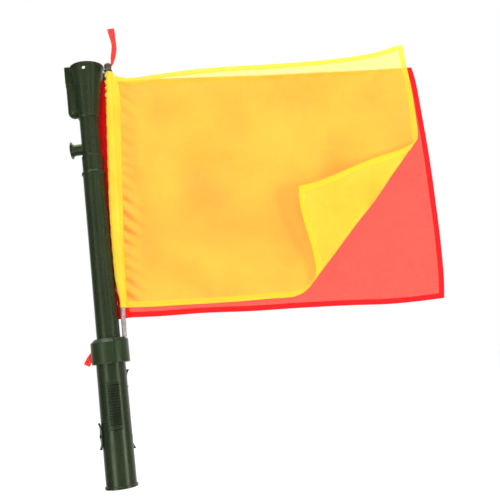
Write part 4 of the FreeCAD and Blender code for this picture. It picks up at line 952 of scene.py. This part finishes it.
# ------------------------------------------------------------------ floor, world, lights
def studio_floor():
    """Grey-white floor that glows nearly white to the camera only."""
    mat = new_material("studio_floor")
    seen = mat.add("LightPath")["Is Camera Ray"]
    plain = mat.add("BsdfDiffuse", {"Color": (0.88, 0.88, 0.88, 1)})[0]
    dim = mat.add("BsdfDiffuse", {"Color": (0.12, 0.12, 0.12, 1)})[0]
    glow = mat.add("Emission", {"Color": WHITE, "Strength": 0.96})[0]
    bright = mat.add("AddShader", {0: dim, 1: glow})[0]
    material = mat.finish(mat.mix_shader(seen, plain, bright))
    corners = [(x, y, -0.3) for x, y in
               ((-4000, -4000), (4000, -4000), (4000, 6000), (-4000, 6000))]
    floor = make_mesh("floor", corners, [(0, 1, 2, 3)], smooth=False)
    floor.data.materials.append(material)
    floor.visible_glossy = False
    floor.visible_shadow = False


def studio_world():
    """White to the camera, dim as light, brighter towards +y in reflections."""
    world = bpy.data.worlds.new("studio")
    bpy.context.scene.world = world
    sky = Nodes(world, "OutputWorld")
    ray = sky.add("LightPath")
    direction = sky.add("SeparateXYZ", {0: sky.add("TexCoord")["Generated"]})
    reflected = sky.ramp(direction[1], span=(0.15, 0.9), to=(0.05, 1.05))
    light, backdrop, mirror = (sky.add("Background", {0: WHITE, 1: strength})[0]
                               for strength in (0.34, 1.0, reflected))
    unseen = sky.mix_shader(ray["Is Glossy Ray"], light, mirror)
    sky.finish(sky.mix_shader(ray["Is Camera Ray"], unseen, backdrop))


# Metres and watts. name, place, aimed at, width, height (None for a square), power
SOFT_LIGHTS = (
    ("key_right", (2.30, -2.00, -0.45), (0.28, 0, 0.33), 0.62, None, 40),
    ("key_left", (-0.95, -1.35, 0.95), (0.15, 0, 0.32), 0.8, 1.0, 9.9),
    ("fill_front", (0.22, -1.75, 0.38), (0.22, 0, 0.35), 0.8, None, 9.2),
    ("key_top", (1.45, -1.00, 1.45), (0.22, 0, 0.33), 0.5, None, 9.5),
    ("top_soft", (0.1, -0.2, 1.6), (0.1, 0, 0.3), 1.0, None, 8),
    ("back_soft", (0.35, 1.5, 0.9), (0.22, 0, 0.35), 1.4, None, 42),
)
# seen only in reflections
GLOSS_PANELS = (
    ("top_panel", (0.1, 0.1, 1.7), (0.1, 0, 0.3), 1.4, None, 26),
    ("strip_right", (1.16, -0.59, -0.15), (0.0, 0, -0.10), 0.38, 0.75, 5.0),
    ("strip_left", (-0.65, -1.13, -0.15), (0.0, 0, -0.10), 0.62, 0.75, 5.0),
    ("panel_mid", (0.50, -1.18, 0.66), (0.0, 0, 0.40), 0.26, 0.75, 0.7),
    ("panel_right", (1.10, -0.72, 0.74), (0.0, 0, 0.50), 0.42, 0.60, 0.8),
    ("panel_left", (-0.75, -1.06, 0.60), (0.0, 0, 0.40), 0.34, 0.75, 0.7),
)
GLOSS_COLOUR = (0.92, 1.0, 0.80)


def area_light(name, place, target, width, height, power, colour):
    light = bpy.data.lights.new(name, "AREA")
    light.energy = power
    light.color = colour
    light.shape = "RECTANGLE" if height else "SQUARE"
    light.size = width
    if height:
        light.size_y = height
    light.spread = math.pi
    ob = bpy.data.objects.new(name, light)
    ob.location = place
    ob.rotation_mode = "QUATERNION"
    ob.rotation_quaternion = (Vector(target) - Vector(place)).to_track_quat("-Z", "Y")
    bpy.context.scene.collection.objects.link(ob)
    ob.visible_camera = False
    return ob


def photo_camera():
    data = bpy.data.cameras.new("photo_camera")
    data.lens = 50
    data.sensor_width = 36
    data.clip_start, data.clip_end = 0.02, 40
    camera = bpy.data.objects.new("photo_camera", data)
    bpy.context.scene.collection.objects.link(camera)
    pose = Matrix.Identity(4)
    for i in range(3):
        pose[i] = (CAMERA_RIGHT[i], CAMERA_UP[i], -CAMERA_AHEAD[i], CAMERA_AT[i] * MM)
    camera.matrix_world = pose
    bpy.context.scene.camera = camera


studio_floor()
studio_world()
for row in SOFT_LIGHTS:
    area_light(*row, colour=(1, 1, 1)).visible_glossy = False
for row in GLOSS_PANELS:
    panel = area_light(*row, colour=GLOSS_COLOUR)
    panel.visible_diffuse = False
    panel.visible_transmission = False
photo_camera()

scene = bpy.context.scene
scene.view_settings.view_transform = "Standard"
scene.view_settings.look = "None"
scene.view_settings.exposure = 0.0
scene.view_settings.gamma = 1.0
scene.cycles.transparent_max_bounces = 24
scene.cycles.max_bounces = 10
scene.cycles.use_denoising = True
